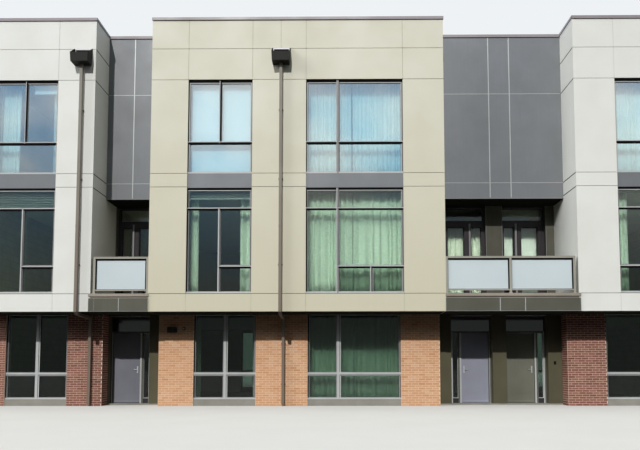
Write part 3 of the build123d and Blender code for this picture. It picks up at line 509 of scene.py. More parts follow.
# %% Tools for a rule
def start_rule(name, result, sizes):
    """An empty geometry tree, and its inputs by name with the number of the box."""
    tree = bpy.data.node_groups.new(name, "GeometryNodeTree")
    for label, value in sizes.items():
        kind = "Material" if value is None else type(value).__name__.capitalize()
        socket = tree.interface.new_socket(label, in_out="INPUT", socket_type="NodeSocket" + kind)
        if value is not None:
            socket.default_value = value
    tree.interface.new_socket(result, in_out="OUTPUT", socket_type="NodeSocketGeometry")
    known = {socket.name: socket for socket in node(tree, "NodeGroupInput").outputs}
    known["number"] = node(tree, "GeometryNodeInputIndex").outputs[0]
    return tree, known


def work_out(tree, known, sums):
    """Adds sums in order: a name, an operation, and terms that are numbers or known names."""
    for name, operation, *terms in sums:
        inputs = {i: known.get(term, term) for i, term in enumerate(terms)}
        known[name] = node(tree, "ShaderNodeMath", inputs, operation=operation).outputs[0]


def lay_boxes(tree, known, place, size, material, kept=True, tone=0.0):
    """Ends a rule: a box at each place, with a tone of its own, made real and given its finish."""
    place, size = (node(tree, "ShaderNodeCombineXYZ", {i: known[n] for i, n in enumerate(names)})
                   for names in (place, size))
    spots = node(tree, "GeometryNodePoints", {"Count": known["count"]})
    moved = node(tree, "GeometryNodeSetPosition", {"Geometry": spots, "Position": place})
    box = node(tree, "GeometryNodeMeshCube", {"Size": (1.0, 1.0, 1.0)})
    laid = node(tree, "GeometryNodeInstanceOnPoints", {
        "Points": moved, "Selection": kept, "Instance": box, "Scale": size})
    toned = node(tree, "GeometryNodeStoreNamedAttribute", {
        "Geometry": laid, "Name": "tone", "Value": tone}, data_type="FLOAT", domain="INSTANCE")
    real = node(tree, "GeometryNodeRealizeInstances", {"Geometry": toned})
    clad = node(tree, "GeometryNodeSetMaterial", {"Geometry": real, "Material": known[material]})
    node(tree, "NodeGroupOutput", {0: clad})


print("node groups before the first rule", len(bpy.data.node_groups))


# %% From a rule to a piece
def evaluated(tree, values):
    """Runs a rule on an empty mesh and returns the plain mesh that comes out."""
    carrier = put_in_scene("carrier", bpy.data.meshes.new("carrier"))
    modifier = carrier.modifiers.new("rule", "NODES")
    modifier.node_group = tree
    for socket in tree.interface.items_tree:
        if socket.name in values:
            modifier[socket.identifier] = values[socket.name]
    bpy.context.view_layer.update()
    mesh = bpy.data.meshes.new_from_object(carrier.evaluated_get(bpy.context.evaluated_depsgraph_get()))
    bpy.data.objects.remove(carrier)
    return mesh


def joined(name, placed, material, attribute=None):
    """One piece out of (mesh, matrix) pairs. attribute is a per-point number that is kept."""
    verts, faces, kept = [], [], []
    for mesh, matrix in placed:
        start = len(verts)
        verts += [matrix @ v.co for v in mesh.vertices]
        faces += [[start + i for i in p.vertices] for p in mesh.polygons]
        if attribute:
            kept += [point.value for point in mesh.attributes[attribute].data]
    piece = mesh_piece(name, verts, faces, material)
    if attribute:
        piece.data.attributes.new(attribute, "FLOAT", "POINT").data.foreach_set("value", kept)
    print(name, "faces", len(piece.data.polygons))


# %% [markdown]
# ## Bricks
# A wall of bricks is such a rule: courses of 67.7 mm, bricks every 203 mm, each second course
# shifted by half a brick, and short pieces at the ends. Each brick stands a few millimetres out
# of the mortar. The same tree makes all the faces, and only its inputs change.

# %% The brick rule
BED, SHORTEST_BRICK, ROUNDING = 0.004, 0.03, 0.001
BRICK_RULE, known = start_rule("stretcher_bond", "Bricks", {
    "Wall length": 2.0, "Wall height": 2.6, "Course height": 0.0677, "Brick pitch": 0.203,
    "Joint": 0.010, "Stand out": 0.004, "Seed": 1, "Clay": None})
known["ragged"] = node(BRICK_RULE, "FunctionNodeRandomValue", {"Seed": known["Seed"], 2: 0.65, 3: 1.0},
                       data_type="FLOAT").outputs[1]
work_out(BRICK_RULE, known, (
    # How many courses, how many bricks in each, and so how many in all
    ("courses", "DIVIDE", "Wall height", "Course height"), ("courses", "ROUND", "courses"),
    ("across", "DIVIDE", "Wall length", "Brick pitch"), ("across", "CEIL", "across"),
    ("across", "ADD", "across", 1.0), ("count", "MULTIPLY", "courses", "across"),
    # Which course this brick is in, and which brick of the course it is
    ("row", "ADD", "number", ROUNDING), ("row", "DIVIDE", "row", "across"), ("row", "FLOOR", "row"),
    ("before", "MULTIPLY", "row", "across"), ("column", "SUBTRACT", "number", "before"),
    # Its two ends: shifted by half a brick in each second course, and cut at the wall's ends
    ("shift", "FLOORED_MODULO", "row", 2.0), ("shift", "MULTIPLY", "shift", 0.5),
    ("start", "SUBTRACT", "column", "shift"), ("end", "ADD", "start", 1.0),
    ("left", "MULTIPLY", "start", "Brick pitch"), ("left", "MAXIMUM", "left", 0.0),
    ("right", "MULTIPLY", "end", "Brick pitch"), ("right", "MINIMUM", "right", "Wall length"),
    # Its length, depth and height, with the joint left out and its back bedded in the mortar
    ("length", "SUBTRACT", "right", "left"), ("length", "SUBTRACT", "length", "Joint"),
    ("proud", "MULTIPLY", "Stand out", "ragged"), ("deep", "ADD", "proud", BED),
    ("course", "DIVIDE", "Wall height", "courses"), ("high", "SUBTRACT", "course", "Joint"),
    # Its middle, whether it is worth laying, and a seed of its own for the tones
    ("x", "ADD", "left", "right"), ("x", "MULTIPLY", "x", 0.5), ("y", "MULTIPLY", "proud", -0.5),
    ("z", "ADD", "row", 0.5), ("z", "MULTIPLY", "z", "course"),
    ("whole", "GREATER_THAN", "length", SHORTEST_BRICK), ("tone seed", "ADD", "Seed", 7.0)))
own_tone = node(BRICK_RULE, "FunctionNodeRandomValue", {"Seed": known["tone seed"]}, data_type="FLOAT")
lay_boxes(BRICK_RULE, known, ("x", "y", "z"), ("length", "deep", "high"), "Clay", known["whole"],
          own_tone.outputs[1])
print("brick rule nodes", len(BRICK_RULE.nodes))

# %% [markdown]
# ## Laying the walls
# A face of brickwork is given by its first corner, its turn about the upright, its length and its
# height. The evaluated geometry becomes a plain mesh, is put in its place, and all the faces of one
# colour become one piece.


# %% Lay bricks on every brick face
def brick_faces(fronts, rears, right, left):
    """Front and rear faces, both returns into a recess, and the reveals beside the windows."""
    full, quarter = BAND_BOT / 1000, math.pi / 2
    for a, b in fronts:
        yield at(a, BRICK_Y, 0), 0.0, (b - a) / 1000, full
    for a, b in rears:
        yield at(b, DEPTH, 0), math.pi, (b - a) / 1000, full - 0.005
    yield at(right, BRICK_Y, 0), quarter, BRICK_RETURN / 1000, full
    yield at(left, BRICK_Y + BRICK_RETURN, 0), -quarter, BRICK_RETURN / 1000, full
    for a, b in fronts:
        if a in (window[1] for window in COLUMNS):
            yield at(a, BRICK_Y + FRAME_SET, 0), -quarter, FRAME_SET / 1000, full


for colour, clay, sides in (
        ("red", brick_red_clay, (
            ((0, WIN_WL[0]), (WIN_WL[1], C_WL), (C_WR, WIN_WR[0]), (WIN_WR[1], ROW_W)),
            ((0, WIN_WL[0]), (WIN_WL[1], PARTY_LEFT), (PARTY_NICHE, WIN_WR[0]), (WIN_WR[1], ROW_W)),
            C_WL, C_WR)),
        ("orange", brick_orange_clay, (
            ((C_BL, WIN_BN[0]), (WIN_BN[1], WIN_BW[0]), (WIN_BW[1], C_BR)),
            ((PARTY_LEFT, WIN_BN[0]), (WIN_BN[1], WIN_BW[0]), (WIN_BW[1], PARTY_NICHE)),
            C_BR, C_BL))):
    placed = []
    for seed, (corner, turn, length, height) in enumerate(brick_faces(*sides), 11):
        mesh = evaluated(BRICK_RULE, {
            "Wall length": length, "Wall height": height, "Seed": seed, "Clay": clay})
        placed.append((mesh, Matrix.Translation(corner) @ Matrix.Rotation(turn, 4, "Z")))
    joined("bricks_" + colour, placed, clay, "tone")

# %% [markdown]
# ## Window beads, caps and panes
# A window of this kind has square bars with splayed beads between their face and the glass. The
# upper side of a transom's bead faces the sun and shines; the lower one stays dark. The thin bright
# lines across each window and up its mullions are light cap strips whose colour paints the sunlit
# faces of the bars, and black strips beside them paint the shade there. Each pane of glass is its own
# sheet behind the beads.

# %% Panes of each window
# Each storey: sill, head at the front, head at the rear, and the wall's face
STOREYS = {"ground": (SILL1, FLOOR2_BOT, BAND_BOT, BRICK_Y), "second": (SILL2, HEAD2, HEAD2, 0),
           "third": (SILL3, HEAD3, HEAD3, 0)}
EDGE_BAR, HALF_TRANSOM, HALF_MULLION, HALF_GROUND_MULLION, SIDE_PANE = 50, 21, 31, 52, 900


def window_panes(kind, x0, x1, z0, z1, flip):
    """The panes of a window: left, right, bottom and top of each, as in the frame's bars."""
    half = HALF_GROUND_MULLION if kind.startswith("ground") else HALF_MULLION
    middle = (x0 + x1) / 2 if kind.endswith("narrow") else x0 + SIDE_PANE
    start, stop, low, high = x0 + EDGE_BAR, x1 - EDGE_BAR, z0 + EDGE_BAR, z1 - EDGE_BAR
    # Stretches across the window
    first, rest, whole = (start, middle - half), (middle + half, stop), (start, stop)
    inner, last = (middle + half, x1 - SIDE_PANE - half), (x1 - SIDE_PANE + half, stop)
    # Stretches up the window, with one transom or, on the second storey, two
    bar, t = TRANSOM1 if kind.startswith("ground") else TRANSOM3, HALF_TRANSOM
    below, above = (low, bar - t), (bar + t, high)
    foot, heart = (low, TRANSOM2_LOW - t), (TRANSOM2_LOW + t, TRANSOM2_UP - t)
    tall, crown = (low, TRANSOM2_UP - t), (TRANSOM2_UP + t, high)
    cells = {
        "second_narrow": ((first, tall), (rest, foot), (rest, heart), (whole, crown)),
        "second_wide": ((first, tall), (inner, foot), (last, foot), (rest, heart), (first, crown),
                        (rest, crown)),
        "third_narrow": ((whole, below), (first, above), (rest, above)),
    }.get(kind, ((first, below), (rest, below), (first, above), (rest, above)))
    return [(x0 + x1 - b, x0 + x1 - a, *z) if flip else (a, b, *z) for (a, b), z in cells]


def all_windows():
    """Each window, front and rear: storey, kind, opening, panes, the bars' face and the way in."""
    for storey, (z0, front_top, rear_top, face) in STOREYS.items():
        for x0, x1 in COLUMNS:
            kind = storey + ("_wide" if (x0, x1) in (WIN_BW, WIN_WR) else "_narrow")
            for y, way, z1 in ((face + FRAME_SET, 1, front_top), (DEPTH - FRAME_SET, -1, rear_top)):
                here = window_panes(kind, x0, x1, z0, z1, (x0, x1) == WIN_WR)
                yield storey, kind, (x0, x1, z0, z1), here, y, way


print("windows", sum(1 for _ in all_windows()))

# %% [markdown]
# ## Caps and strips on the bars
# The bars of the frame are plain boxes. Each level bar gets a light cap whose colour paints its sunlit
# face, with a black strip below it that paints the shade under the bar, and at the head a black band
# above it that paints the head's shadow. Each mullion gets a few narrow strips that stand out by
# different amounts: the light one on its left paints the sunlit side, and most of the darker ones to its
# right paint the shaded side. Each jamb gets one strip, black on the left jamb, where it paints the
# shade. They follow the bars: a bar is the band between two rows of panes, wherever no pane covers it.

# %% Kits and profiles of the bars
beads, caps, seals, stiles, jambs, backs = (Kit() for _ in range(6))
panes = {name: Kit() for name in (*STOREYS, "second_low")}
PANE_IN, PANE_T, BACK_IN = 28, 6, 138      # pane and inner bar section, behind the bars' face
# Mullion strips, from the mullion's middle: kit, left and right edge, how far it stands out. The light cap
# on the left paints the sunlit side; most of the darker strips to its right paint the shaded side.
ACROSS = {
    "third_wide": ((caps, -31, -19, 12), (stiles, -18, 30, 16), (jambs, 32, 60, 6)),
    "third_narrow": ((caps, -30, -12, 16), (seals, -10, 32, 6)),
    "second_wide": ((caps, -40, -25, 12), (stiles, -23, 18, 16), (jambs, 20, 42, 6)),
    "second_narrow": ((caps, -31, 2, 16), (jambs, 4, 40, 6)),
    "short": ((caps, -44, -18, 16), (seals, -16, 14, 4), (stiles, 16, 44, 4)),
    "ground": ((caps, -32, 42, 16), (seals, 43, 53, 4), (caps, 54, 84, 10)),
}
WIDEST_TRANSOM, WIDEST_MULLION, SHORTEST_RUN, TALL_MULLION = 60, 120, 110, 1200
LEVEL_INSET, UPRIGHT_INSET, BELOW_HEAD = 2, 4, 64
print("profiles of mullions", len(ACROSS))


# %% Dress the bars
def bar_runs(here, start, end, across, axis):
    """The lengths along a line at `across` that no pane covers, level for axis 0, else upright."""
    side = 2 * axis
    covered = sorted(p[side:side + 2] for p in here if p[2 - side] < across < p[3 - side])
    runs, last = [], start
    for a, b in (*covered, (end, end)):
        if a - last > SHORTEST_RUN:
            runs.append((last, a))
        last = max(last, b)
    return runs


def dress_bars(kind, opening, here, face, way):
    """Lays caps and strips on a window's bars, a little in from each bar's own edges."""
    x0, x1, z0, z1 = opening
    ground, third = kind.startswith("ground"), kind.startswith("third")

    def skin(kit, a, b, c, d, proud, back=0):
        """A strip on the bars' face: left, right, bottom, top, how far it stands out and back."""
        kit.bar(a, b, *sorted((face + way * back, face - way * proud)), c, d)

    def inner(a, b, c, d):
        """The wider section on the room side of a bar. Its pale colour also paints the light bounced onto
        its underside.
        """
        backs.bar(a, b, *sorted((face + way * (FRAME_D + 1), face + way * BACK_IN)), c, d, 4.0)

    levels = sorted({z0, z1} | {v for p in here for v in p[2:]})
    for low, high in zip(levels, levels[1:]):
        if high - low > WIDEST_TRANSOM:
            continue
        for a, b in bar_runs(here, x0, x1, (low + high) / 2, 0):
            a, b = a + LEVEL_INSET, b - LEVEL_INSET
            if z0 < low and high < z1:
                inner(a, b, low + 3, high - 3)
            # Level bars: a light cap paints the sunlit face. At the head a black band paints the shadow that
            # the head throws on the bar, and at a transom a black strip below the cap paints the shade under
            # it.
            if low == z0:
                skin(caps, a, b, low + 3, high - 3, 14)
            elif high == z1:
                skin(seals, a, b, high - 66, high - 2, 8)
                skin(caps, a + 24, b - 24, high - 88, high - 66, 4, 22)
            elif ground:
                skin(caps, a, b, low + 35, high + 50, 18)
                skin(stiles, a, b, low - 13, low + 33, 14)
            else:
                drop = 14 if third else -18 if low < TRANSOM2_LOW else 0
                skin(caps, a, b, high - 26 + drop, high - 1 + drop, 16, 4)
                skin(seals, a, b, low - 34 + min(drop, 8), high - 28 + drop, 8, 22)
    sides = sorted({x0, x1} | {v for p in here for v in p[:2]})
    for left, right in zip(sides, sides[1:]):
        if right - left > WIDEST_MULLION:
            continue
        middle = (left + right) / 2
        for a, b in bar_runs(here, z0, z1, middle, 1):
            profile = "ground" if ground else kind if b - a > TALL_MULLION else "short"
            a, b = a + UPRIGHT_INSET, b - UPRIGHT_INSET
            # Jambs: on the left a black strip paints the jamb's shade beside a light cap that paints the
            # sunlit bead; on the right a light cap and a mauve strip.
            if left == x0:
                rim = 26 if third else 40
                skin(seals, left + 3, left + rim - 1, a, b, 3)
                skin(caps, left + rim + 1, right - 2, a, b - BELOW_HEAD, 3)
            elif right == x1:
                rim = 32 if third else 40
                skin(caps, left + 2, right - rim - 2, a, b - BELOW_HEAD, 3)
                skin(jambs, right - rim, right - 3, a, b, 3)
            else:
                inner(left + 4, right - 4, a, b)
                for kit, c, d, proud in ACROSS[profile]:
                    skin(kit, middle + c, middle + d, a, b, proud)


print("runs along an empty line", bar_runs([], 0, 1000, 0, 0))

# %% Make the window parts
for storey, kind, opening, here, y, way in all_windows():
    dress_bars(kind, opening, here, y, way)
    inside, behind = y + way * PANE_IN, y + way * (PANE_IN + PANE_T)
    for x0, x1, z0, z1 in here:
        low = kind == "second_wide" and z1 < TRANSOM2_LOW and way > 0
        beads.bead(x0, x1, z0, z1, y + way * 4, inside, 12)
        beads.bead(x0, x1, z0, z1, behind, y + way * FRAME_D, 16)
        panes["second_low" if low else storey].bar(x0 + 1, x1 - 1, *sorted((inside, behind)),
                                                   z0 + 1, z1 - 1, 1.0)
for kit, name, metal in ((caps, "cover_caps", light_bar_and_highlight), (seals, "seals", black_seal_and_shade),
                         (stiles, "mullion_caps", frame_grey), (jambs, "jamb_strips", jamb_mauve),
                         (beads, "beads", frame_grey), (backs, "inner_sections", light_bar_and_highlight)):
    kit.piece("window_" + name, metal, slot="window_frame")
for storey, glass, node_name in (
        ("ground", glass_dark, "ground_glass"), ("second", glass_green, "upper_glass"),
        ("second_low", glass_deep, "upper_glass"), ("third", glass_blue, "upper_glass")):
    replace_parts(panes[storey].piece("glass_" + storey, glass, slot="window_glass"), node_name)

# %% [markdown]
# ## Curtains
# A drawn curtain hangs from its rod in deep folds that open a little towards the hem. Its cut width
# is about 1.4 times what it covers. The sheet is built as a wave whose folds differ in width and
# depth, closer together on the third storey, and lean a little sideways on the way down. The cloth
# is pale, with a fine weave and a faint sheen from its fibres.


# %% Curtain cloth
def woven_voile(name, tint, shade):
    """Pale woven cloth: faint patches and the sheen of loose fibres. Its level threads are drawn
    coarser than real ones, so that the weave shows."""
    material, tree, shader, place, _ = start_material(name)
    weft = node(tree, "ShaderNodeTexWave", {"Vector": place, "Scale": 120.0, "Distortion": 1.5},
                bands_direction="Z").outputs["Fac"]
    colour, _ = mottled(tree, place, 14.0, 3.0, (0.3, 0.7), hexa(tint), hexa(shade))
    feed(shader, {
        "Base Color": colour, "Roughness": 0.85, "Sheen Weight": 0.2,
        "Normal": node(tree, "ShaderNodeBump", {"Height": weft, "Strength": 0.15, "Distance": 0.001})})
    return material


def closed_cloth(name, front, back, material, slot=None):
    """One thin closed sheet out of two grids of points, joined round their rim."""
    rows, n = len(front) - 1, len(front[0])
    total, faces = len(front) * n, []
    for r in range(rows):
        for i in range(n - 1):
            q = [r * n + i, r * n + i + 1, (r + 1) * n + i + 1, (r + 1) * n + i]
            faces += [q, [total + v for v in q[::-1]]]
    rim = [*range(n), *(r * n + n - 1 for r in range(1, rows + 1))]
    rim += [*(rows * n + i for i in range(n - 2, -1, -1)), *(r * n for r in range(rows - 1, 0, -1))]
    faces += [[b, a, total + a, total + b] for a, b in zip(rim, rim[1:] + rim[:1])]
    made = Kit()
    made.add([p for line in (*front, *back) for p in line], faces)
    return made.piece(name, material, slot=slot)


voile = woven_voile("woven_voile_pale", "E4EADF", "D2DACB")
blind_cloth = woven_voile("coated_blind_cloth_white", "E9EDEB", "E0E5E2")
print("finishes with cloth", len(bpy.data.materials))


# %% How a curtain hangs
FINE_FOLDS = {"narrow": 24.0, "broad": 60.0, "depth": 34.0}      # the third storey's closer heading


def curtain(name, x0, x1, z0, z1, y, rod, seed, narrow=45.0, broad=130.0, depth=66.0):
    """One hanging sheet in uneven folds between two places on the rod, closed to a thin cloth."""
    chance = random.Random(seed)
    knots = [0.0]
    while knots[-1] < x1 - x0:
        knots.append(knots[-1] + chance.uniform(narrow, broad) * chance.choice((0.6, 1.0, 1.5)))
    knots = [k * (x1 - x0) / knots[-1] for k in knots]
    reach = [(-1) ** i * chance.uniform(0.3, 1.0) for i in range(len(knots))]
    lean = [0.0] + [chance.uniform(-22, 22) for _ in knots[2:]] + [0.0]
    parts, rows, cloth_t = 5, 7, 1.2
    steps = (len(knots) - 1) * parts
    front = []
    for r in range(rows + 1):
        down, line = r / rows, []
        for i in range(steps + 1):
            k = min(i // parts, len(knots) - 2)
            t = i / parts - k
            soft = 0.65 * t + 0.35 * (0.5 - 0.5 * math.cos(math.pi * t))
            x = x0 + knots[k] * (1 - t) + knots[k + 1] * t + down * (lean[k] * (1 - t) + lean[k + 1] * t)
            wave = reach[k] * (1 - soft) + reach[k + 1] * soft
            line.append(Vector((x, y + depth * (0.72 + 0.28 * down) * wave, z1 + (z0 - z1) * down)))
        front.append(line)
    back = []
    for line in front:
        along = [(b - a).normalized() for a, b in zip(line[:1] + line, line[1:] + line[-1:])]
        back.append([p + Vector((-d.y, d.x, 0)) * cloth_t for p, d in zip(line, along)])
    piece = closed_cloth(name, front, back, voile)
    for face in piece.data.polygons:
        face.use_smooth = True


print("fine folds", FINE_FOLDS)

# %% Rods and curtains
ROD_SET, ROD_Z = 372, {"ground": 2700, "second": 6150, "third": 9430}
FLOOR_Z = {"ground": SLAB_TOP, "second": FLOOR2_TOP, "third": FLOOR3_TOP}
HEM_UP, ROD_PAST, BRACKET_PAST = 25, 160, 100
rods, hung = Kit(), []
# Each window: its storey, its sides, and its curtains' ends, from the window's left side
for storey, (left, right), parts in (
        ("third", WIN_WL, ((-120, 600), (1560, 1950))), ("third", WIN_BW, ((-60, 1300), (1330, 2870))),
        ("third", WIN_WR, ((-120, 1300), (1330, 2860))), ("second", WIN_BN, ((-40, 260), (1460, 1950))),
        ("second", WIN_BW, ((-80, 1330), (1340, 2870))), ("second", WIN_WR, ((-120, 420), (2300, 2860))),
        ("ground", WIN_BN, ((-60, 130), (1690, 1890))), ("ground", WIN_BW, ((-80, 1370), (1385, 2840)))):
    z, inside = ROD_Z[storey], STOREYS[storey][3] + WALL_T
    y = STOREYS[storey][3] + ROD_SET
    rods.tube((left - ROD_PAST, y, z), (right + ROD_PAST, y, z), 14, 16)
    for x in (left - ROD_PAST, right + ROD_PAST):
        rods.tube((x - 22, y, z), (x + 22, y, z), 22, 16)
    for x in (left - BRACKET_PAST, right + BRACKET_PAST):
        rods.bar(x - 8, x + 8, inside, y, z - 8, z + 8)
        rods.bar(x - 20, x + 20, inside, inside + 8, z - 36, z + 36)
    hung += [(storey, left + a, left + b, y) for a, b in parts]
rods.piece("curtain_rods", strip_metal, slot="handle")
for i, (storey, a, b, y) in enumerate(hung):
    curtain("curtain_%02d" % i, a, b, FLOOR_Z[storey] + HEM_UP, ROD_Z[storey] - 14, y, "curtain_rods",
            40 + i, **(FINE_FOLDS if storey == "third" else {}))
rod_y, rod_z = BALCONY_Y + 430, 5824
curtain("curtain_balcony", 13940, 15200, FLOOR2_TOP + HEM_UP, rod_z - 14, rod_y, "balcony_rod", 71)
rail = Kit()
rail.tube((13780, rod_y, rod_z), (15330, rod_y, rod_z), 12, 14)
for x in (13820, 15300):
    rail.bar(x - 8, x + 8, rod_y - 80, rod_y, rod_z - 8, rod_z + 8)
rail.piece("balcony_rod", strip_metal, slot="handle")

# %% [markdown]
# ## Strips, seams and flashings
# Sheet cladding shows its joints. On the grey bays a pale aluminium strip covers each joint and
# closes the upper and lower edge. The balcony fascias have narrow pale joints. Each coping ends
# in a folded drip, dark below, and its lengths butt at a cover plate. All of it is
# folded sheet a few millimetres thick, so short chamfered bars are true to it.

# %% Strips on bays and balconies
strips, rims = Kit(), Kit()
BAY_JOINTS = ((X_WL, X_WL + 790, X_BL), (X_BR, X_BR + 1525, X_BR + 2150, X_WR))
FASCIA_JOINTS = (((X_WL + X_BL) / 2,), (X_BR + 1500, X_BR + 2200))
FASCIA_TOP, STRIP_HALF = 3058, 15
for edges in BAY_JOINTS:
    for x in edges[1:-1]:
        strips.bar(x - STRIP_HALF, x + STRIP_HALF, BAY_Y - 5, BAY_Y + 6, BAY_BOT + 32, WALL_TOP - 32)
    stops = [v for x in edges[1:-1] for v in (x - STRIP_HALF, x + STRIP_HALF)]
    stops = [edges[0] + 1, *stops, edges[-1] - 1]
    for a, b in zip(stops[::2], stops[1::2]):
        for z in (SILL3, HEAD3 + 5):
            strips.bar(a, b, BAY_Y - 4, BAY_Y + 6, z - 9, z + 9)
    for z in (BAY_BOT, WALL_TOP - 24):
        rims.bar(edges[0] + 1, edges[-1] - 1, BAY_Y - 6, BAY_Y + 4, z, z + 24)
for (a, b), middle in zip(DECK_ENDS, FASCIA_JOINTS):
    for x in (a + 5, *middle, b - 5):
        w = 10 if x in middle else 5
        strips.bar(x - w, x + w, -25, -12, BAND_BOT + 4, FASCIA_TOP)
    rims.bar(a + 12, b - 12, -24, -16, BAND_BOT + 1, BAND_BOT + 13)
rims.bar(3814, 3824, -23, -12, BAND_BOT + 16, FASCIA_TOP, 1)
rims.piece("folded_rims", frame_grey, slot="grey_panel")
strips.piece("joint_strips", strip_metal, slot="grey_panel")

# %% Joints between panels
UPRIGHTS = ((HEAD3 + 20, SEAM_TOP - 10), (SEAM_TOP + 10, WALL_TOP - 4), (BAND_BOT + 4, SILL2 - 20))
for colour, metal, xs in (("white", white_joint, (*WIN_WL, *WIN_WR)),
                          ("beige", beige_joint, (*WIN_BN, PARTY_BEIGE, *WIN_BW))):
    infill = Kit()
    for x in xs:
        for z0, z1 in UPRIGHTS[:2] if x == PARTY_BEIGE else UPRIGHTS:
            infill.bar(x - 7, x + 7, 5, 16, z0, z1, 1)
    infill.piece("upright_joint_profiles_" + colour, metal, slot=colour + "_panel")
# Black strips, 26 mm tall, on the joints of the four returns: a rubber seal whose black also paints the
# shade inside each joint, seen from below.
gaps = Kit()
for x in (X_WL, X_BL, X_BR, X_WR):
    for z in (HEAD2 + 12, SILL3, HEAD3 + 7, SEAM_TOP):
        gaps.bar(x - 2, x + 2, 28, BAY_Y - 2, z - 13, z + 13, 1)
gaps.piece("return_joint_gaskets", black_seal_and_shade, slot="white_panel")

# %% Copings and roof
drips, seams = Kit(), Kit()
PLATE_EVERY, LAP_EVERY = 2800, 1000
for y, runs in ((0, ((0, X_WL), (X_BL, X_BR), (X_WR, ROW_W))),
                (BAY_Y, ((X_WL + 22, X_BL - 22), (X_BR + 22, X_WR - 22)))):
    for a, b in runs:
        drips.prism([(y - out, WALL_TOP + up) for out, up in ((20, 2), (26, -16), (23, -18), (14, 2))], a, b)
        plates = max(1, round((b - a) / PLATE_EVERY)) if y == 0 else 1
        for i in range(1, plates):
            x = a + (b - a) * i / plates
            drips.bar(x - 45, x + 45, -23, -17, WALL_TOP + 3, COPING_TOP - 2)
drips.piece("coping_drips", coping_metal, slot="coping")
for a, b in ((200, C_WL - 250), (C_BL + 250, PARTY_BEIGE - 100), (PARTY_BEIGE + 100, C_BR - 250),
             (C_WR + 250, ROW_W - 200)):
    for y in (WALL_T, DEPTH - WALL_T - 12):
        seams.bar(a, b, y, y + 12, ROOF_TOP, ROOF_TOP + 170, 3)
    for x in range(a + 900, b - 200, LAP_EVERY):
        seams.bar(x - 40, x + 40, WALL_T + 14, DEPTH - WALL_T - 14, ROOF_TOP, ROOF_TOP + 3, 1)
seams.piece("roof_upstands_and_laps", felt, slot="roof")

# %% [markdown]
# ## Rainwater heads
# A head is a folded sheet box, open at the top, with a rolled rim. Its cheeks rise to the wall, so the
# rim slopes, and a bright tongue of sheet leads the water in through the parapet. The solid in the frame
# is closed, so a hollow one takes its place here: five walls of 3 mm sheet, each a thin slab
# between four corners.


# %% Rainwater heads
def plate(kit, x, lower, upper, shift):
    """A slab across a head between two level edges, each given by half its length, y and z."""
    (w0, y0, z0), (w1, y1, z1) = lower, upper
    kit.slab([(x - w0, y0, z0), (x + w0, y0, z0), (x + w1, y1, z1), (x - w1, y1, z1)], shift)


heads, tongues, collars = Kit(), Kit(), Kit()
HEAD_LOW, HEAD_FRONT, HEAD_BACK, HEAD_DEEP = 9770, 10020, 10270, 304
HALF_LOW, HALF_FRONT, HALF_HIGH, SHEET = 240, 252, 264, 3
low_y, front_y, rim_y = -HEAD_DEEP, -HEAD_DEEP - 12, -HEAD_DEEP - 14
for x in PIPE_XS:
    plate(heads, x, (HALF_LOW, low_y - 1, HEAD_LOW), (HALF_FRONT, front_y, HEAD_FRONT), (0, SHEET, 0))
    for s in (-1, 1):
        heads.slab([(x + s * HALF_LOW, low_y, HEAD_LOW), (x + s * HALF_LOW, -1, HEAD_LOW),
                    (x + s * HALF_HIGH, -1, HEAD_BACK), (x + s * HALF_FRONT, front_y, HEAD_FRONT)],
                   (-SHEET * s, 0, 0))
        near, far = x + s * (HALF_FRONT + 2), x + s * (HALF_HIGH + 2)
        heads.slab([(near, rim_y, HEAD_FRONT - 3), (far, -1, HEAD_BACK - 3), (far, -1, HEAD_BACK + 7),
                    (near, rim_y, HEAD_FRONT + 7)], (-9 * s, 0, 0))
    plate(heads, x, (HALF_LOW, low_y, HEAD_LOW), (HALF_LOW, -1, HEAD_LOW), (0, 0, SHEET))
    plate(heads, x, (HALF_LOW - 4, -5, HEAD_LOW + 3), (HALF_HIGH - 4, -5, HEAD_BACK - 2), (0, 4, 0))
    heads.bar(x - HALF_FRONT - 3, x + HALF_FRONT + 3, rim_y, rim_y + 10, HEAD_FRONT - 2, HEAD_FRONT + 8, 3)
    tongues.bar(x - 215, x + 215, -60, -6, HEAD_BACK - 66, HEAD_BACK - 56, 1)
    plate(tongues, x, (232, -8, HEAD_BACK - 88), (236, -8, HEAD_BACK - 4), (0, 2, 0))
    for wall, levels in ((0, (9730, 8390, 5090)), (BRICK_Y, (1790, 120))):
        y0, y1 = wall - PIPE_OFF - PIPE_DEEP, wall - PIPE_OFF
        for z in levels:
            collars.bar(x - 44, x + 44, y0 - 4, y1 + 4, z - 35, z + 35, 3)
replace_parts(heads.piece("rainwater_heads", gutter_dark, slot="rainwater"), "conductor_heads")
tongues.piece("scupper_tongues", zinc_bright, slot="rainwater")
collars.piece("downpipe_collars", pipe_grey, slot="rainwater")

# %% [markdown]
# ## Balcony guards
# Frosted glass sits between posts in a dark rubber bed. Beside each post the black bed is as wide as
# the post's shaded side that the camera sees, so there its black paints that shade. The post stands on
# a small base plate with four bolts, the top rail has a thin cap, and a hook for a lead hangs at the
# right end.

# %% Guard fittings
gaskets, plates = Kit(), Kit()
POST, GUARD_TOP, PANE_LOW = 60, 4234, 3312
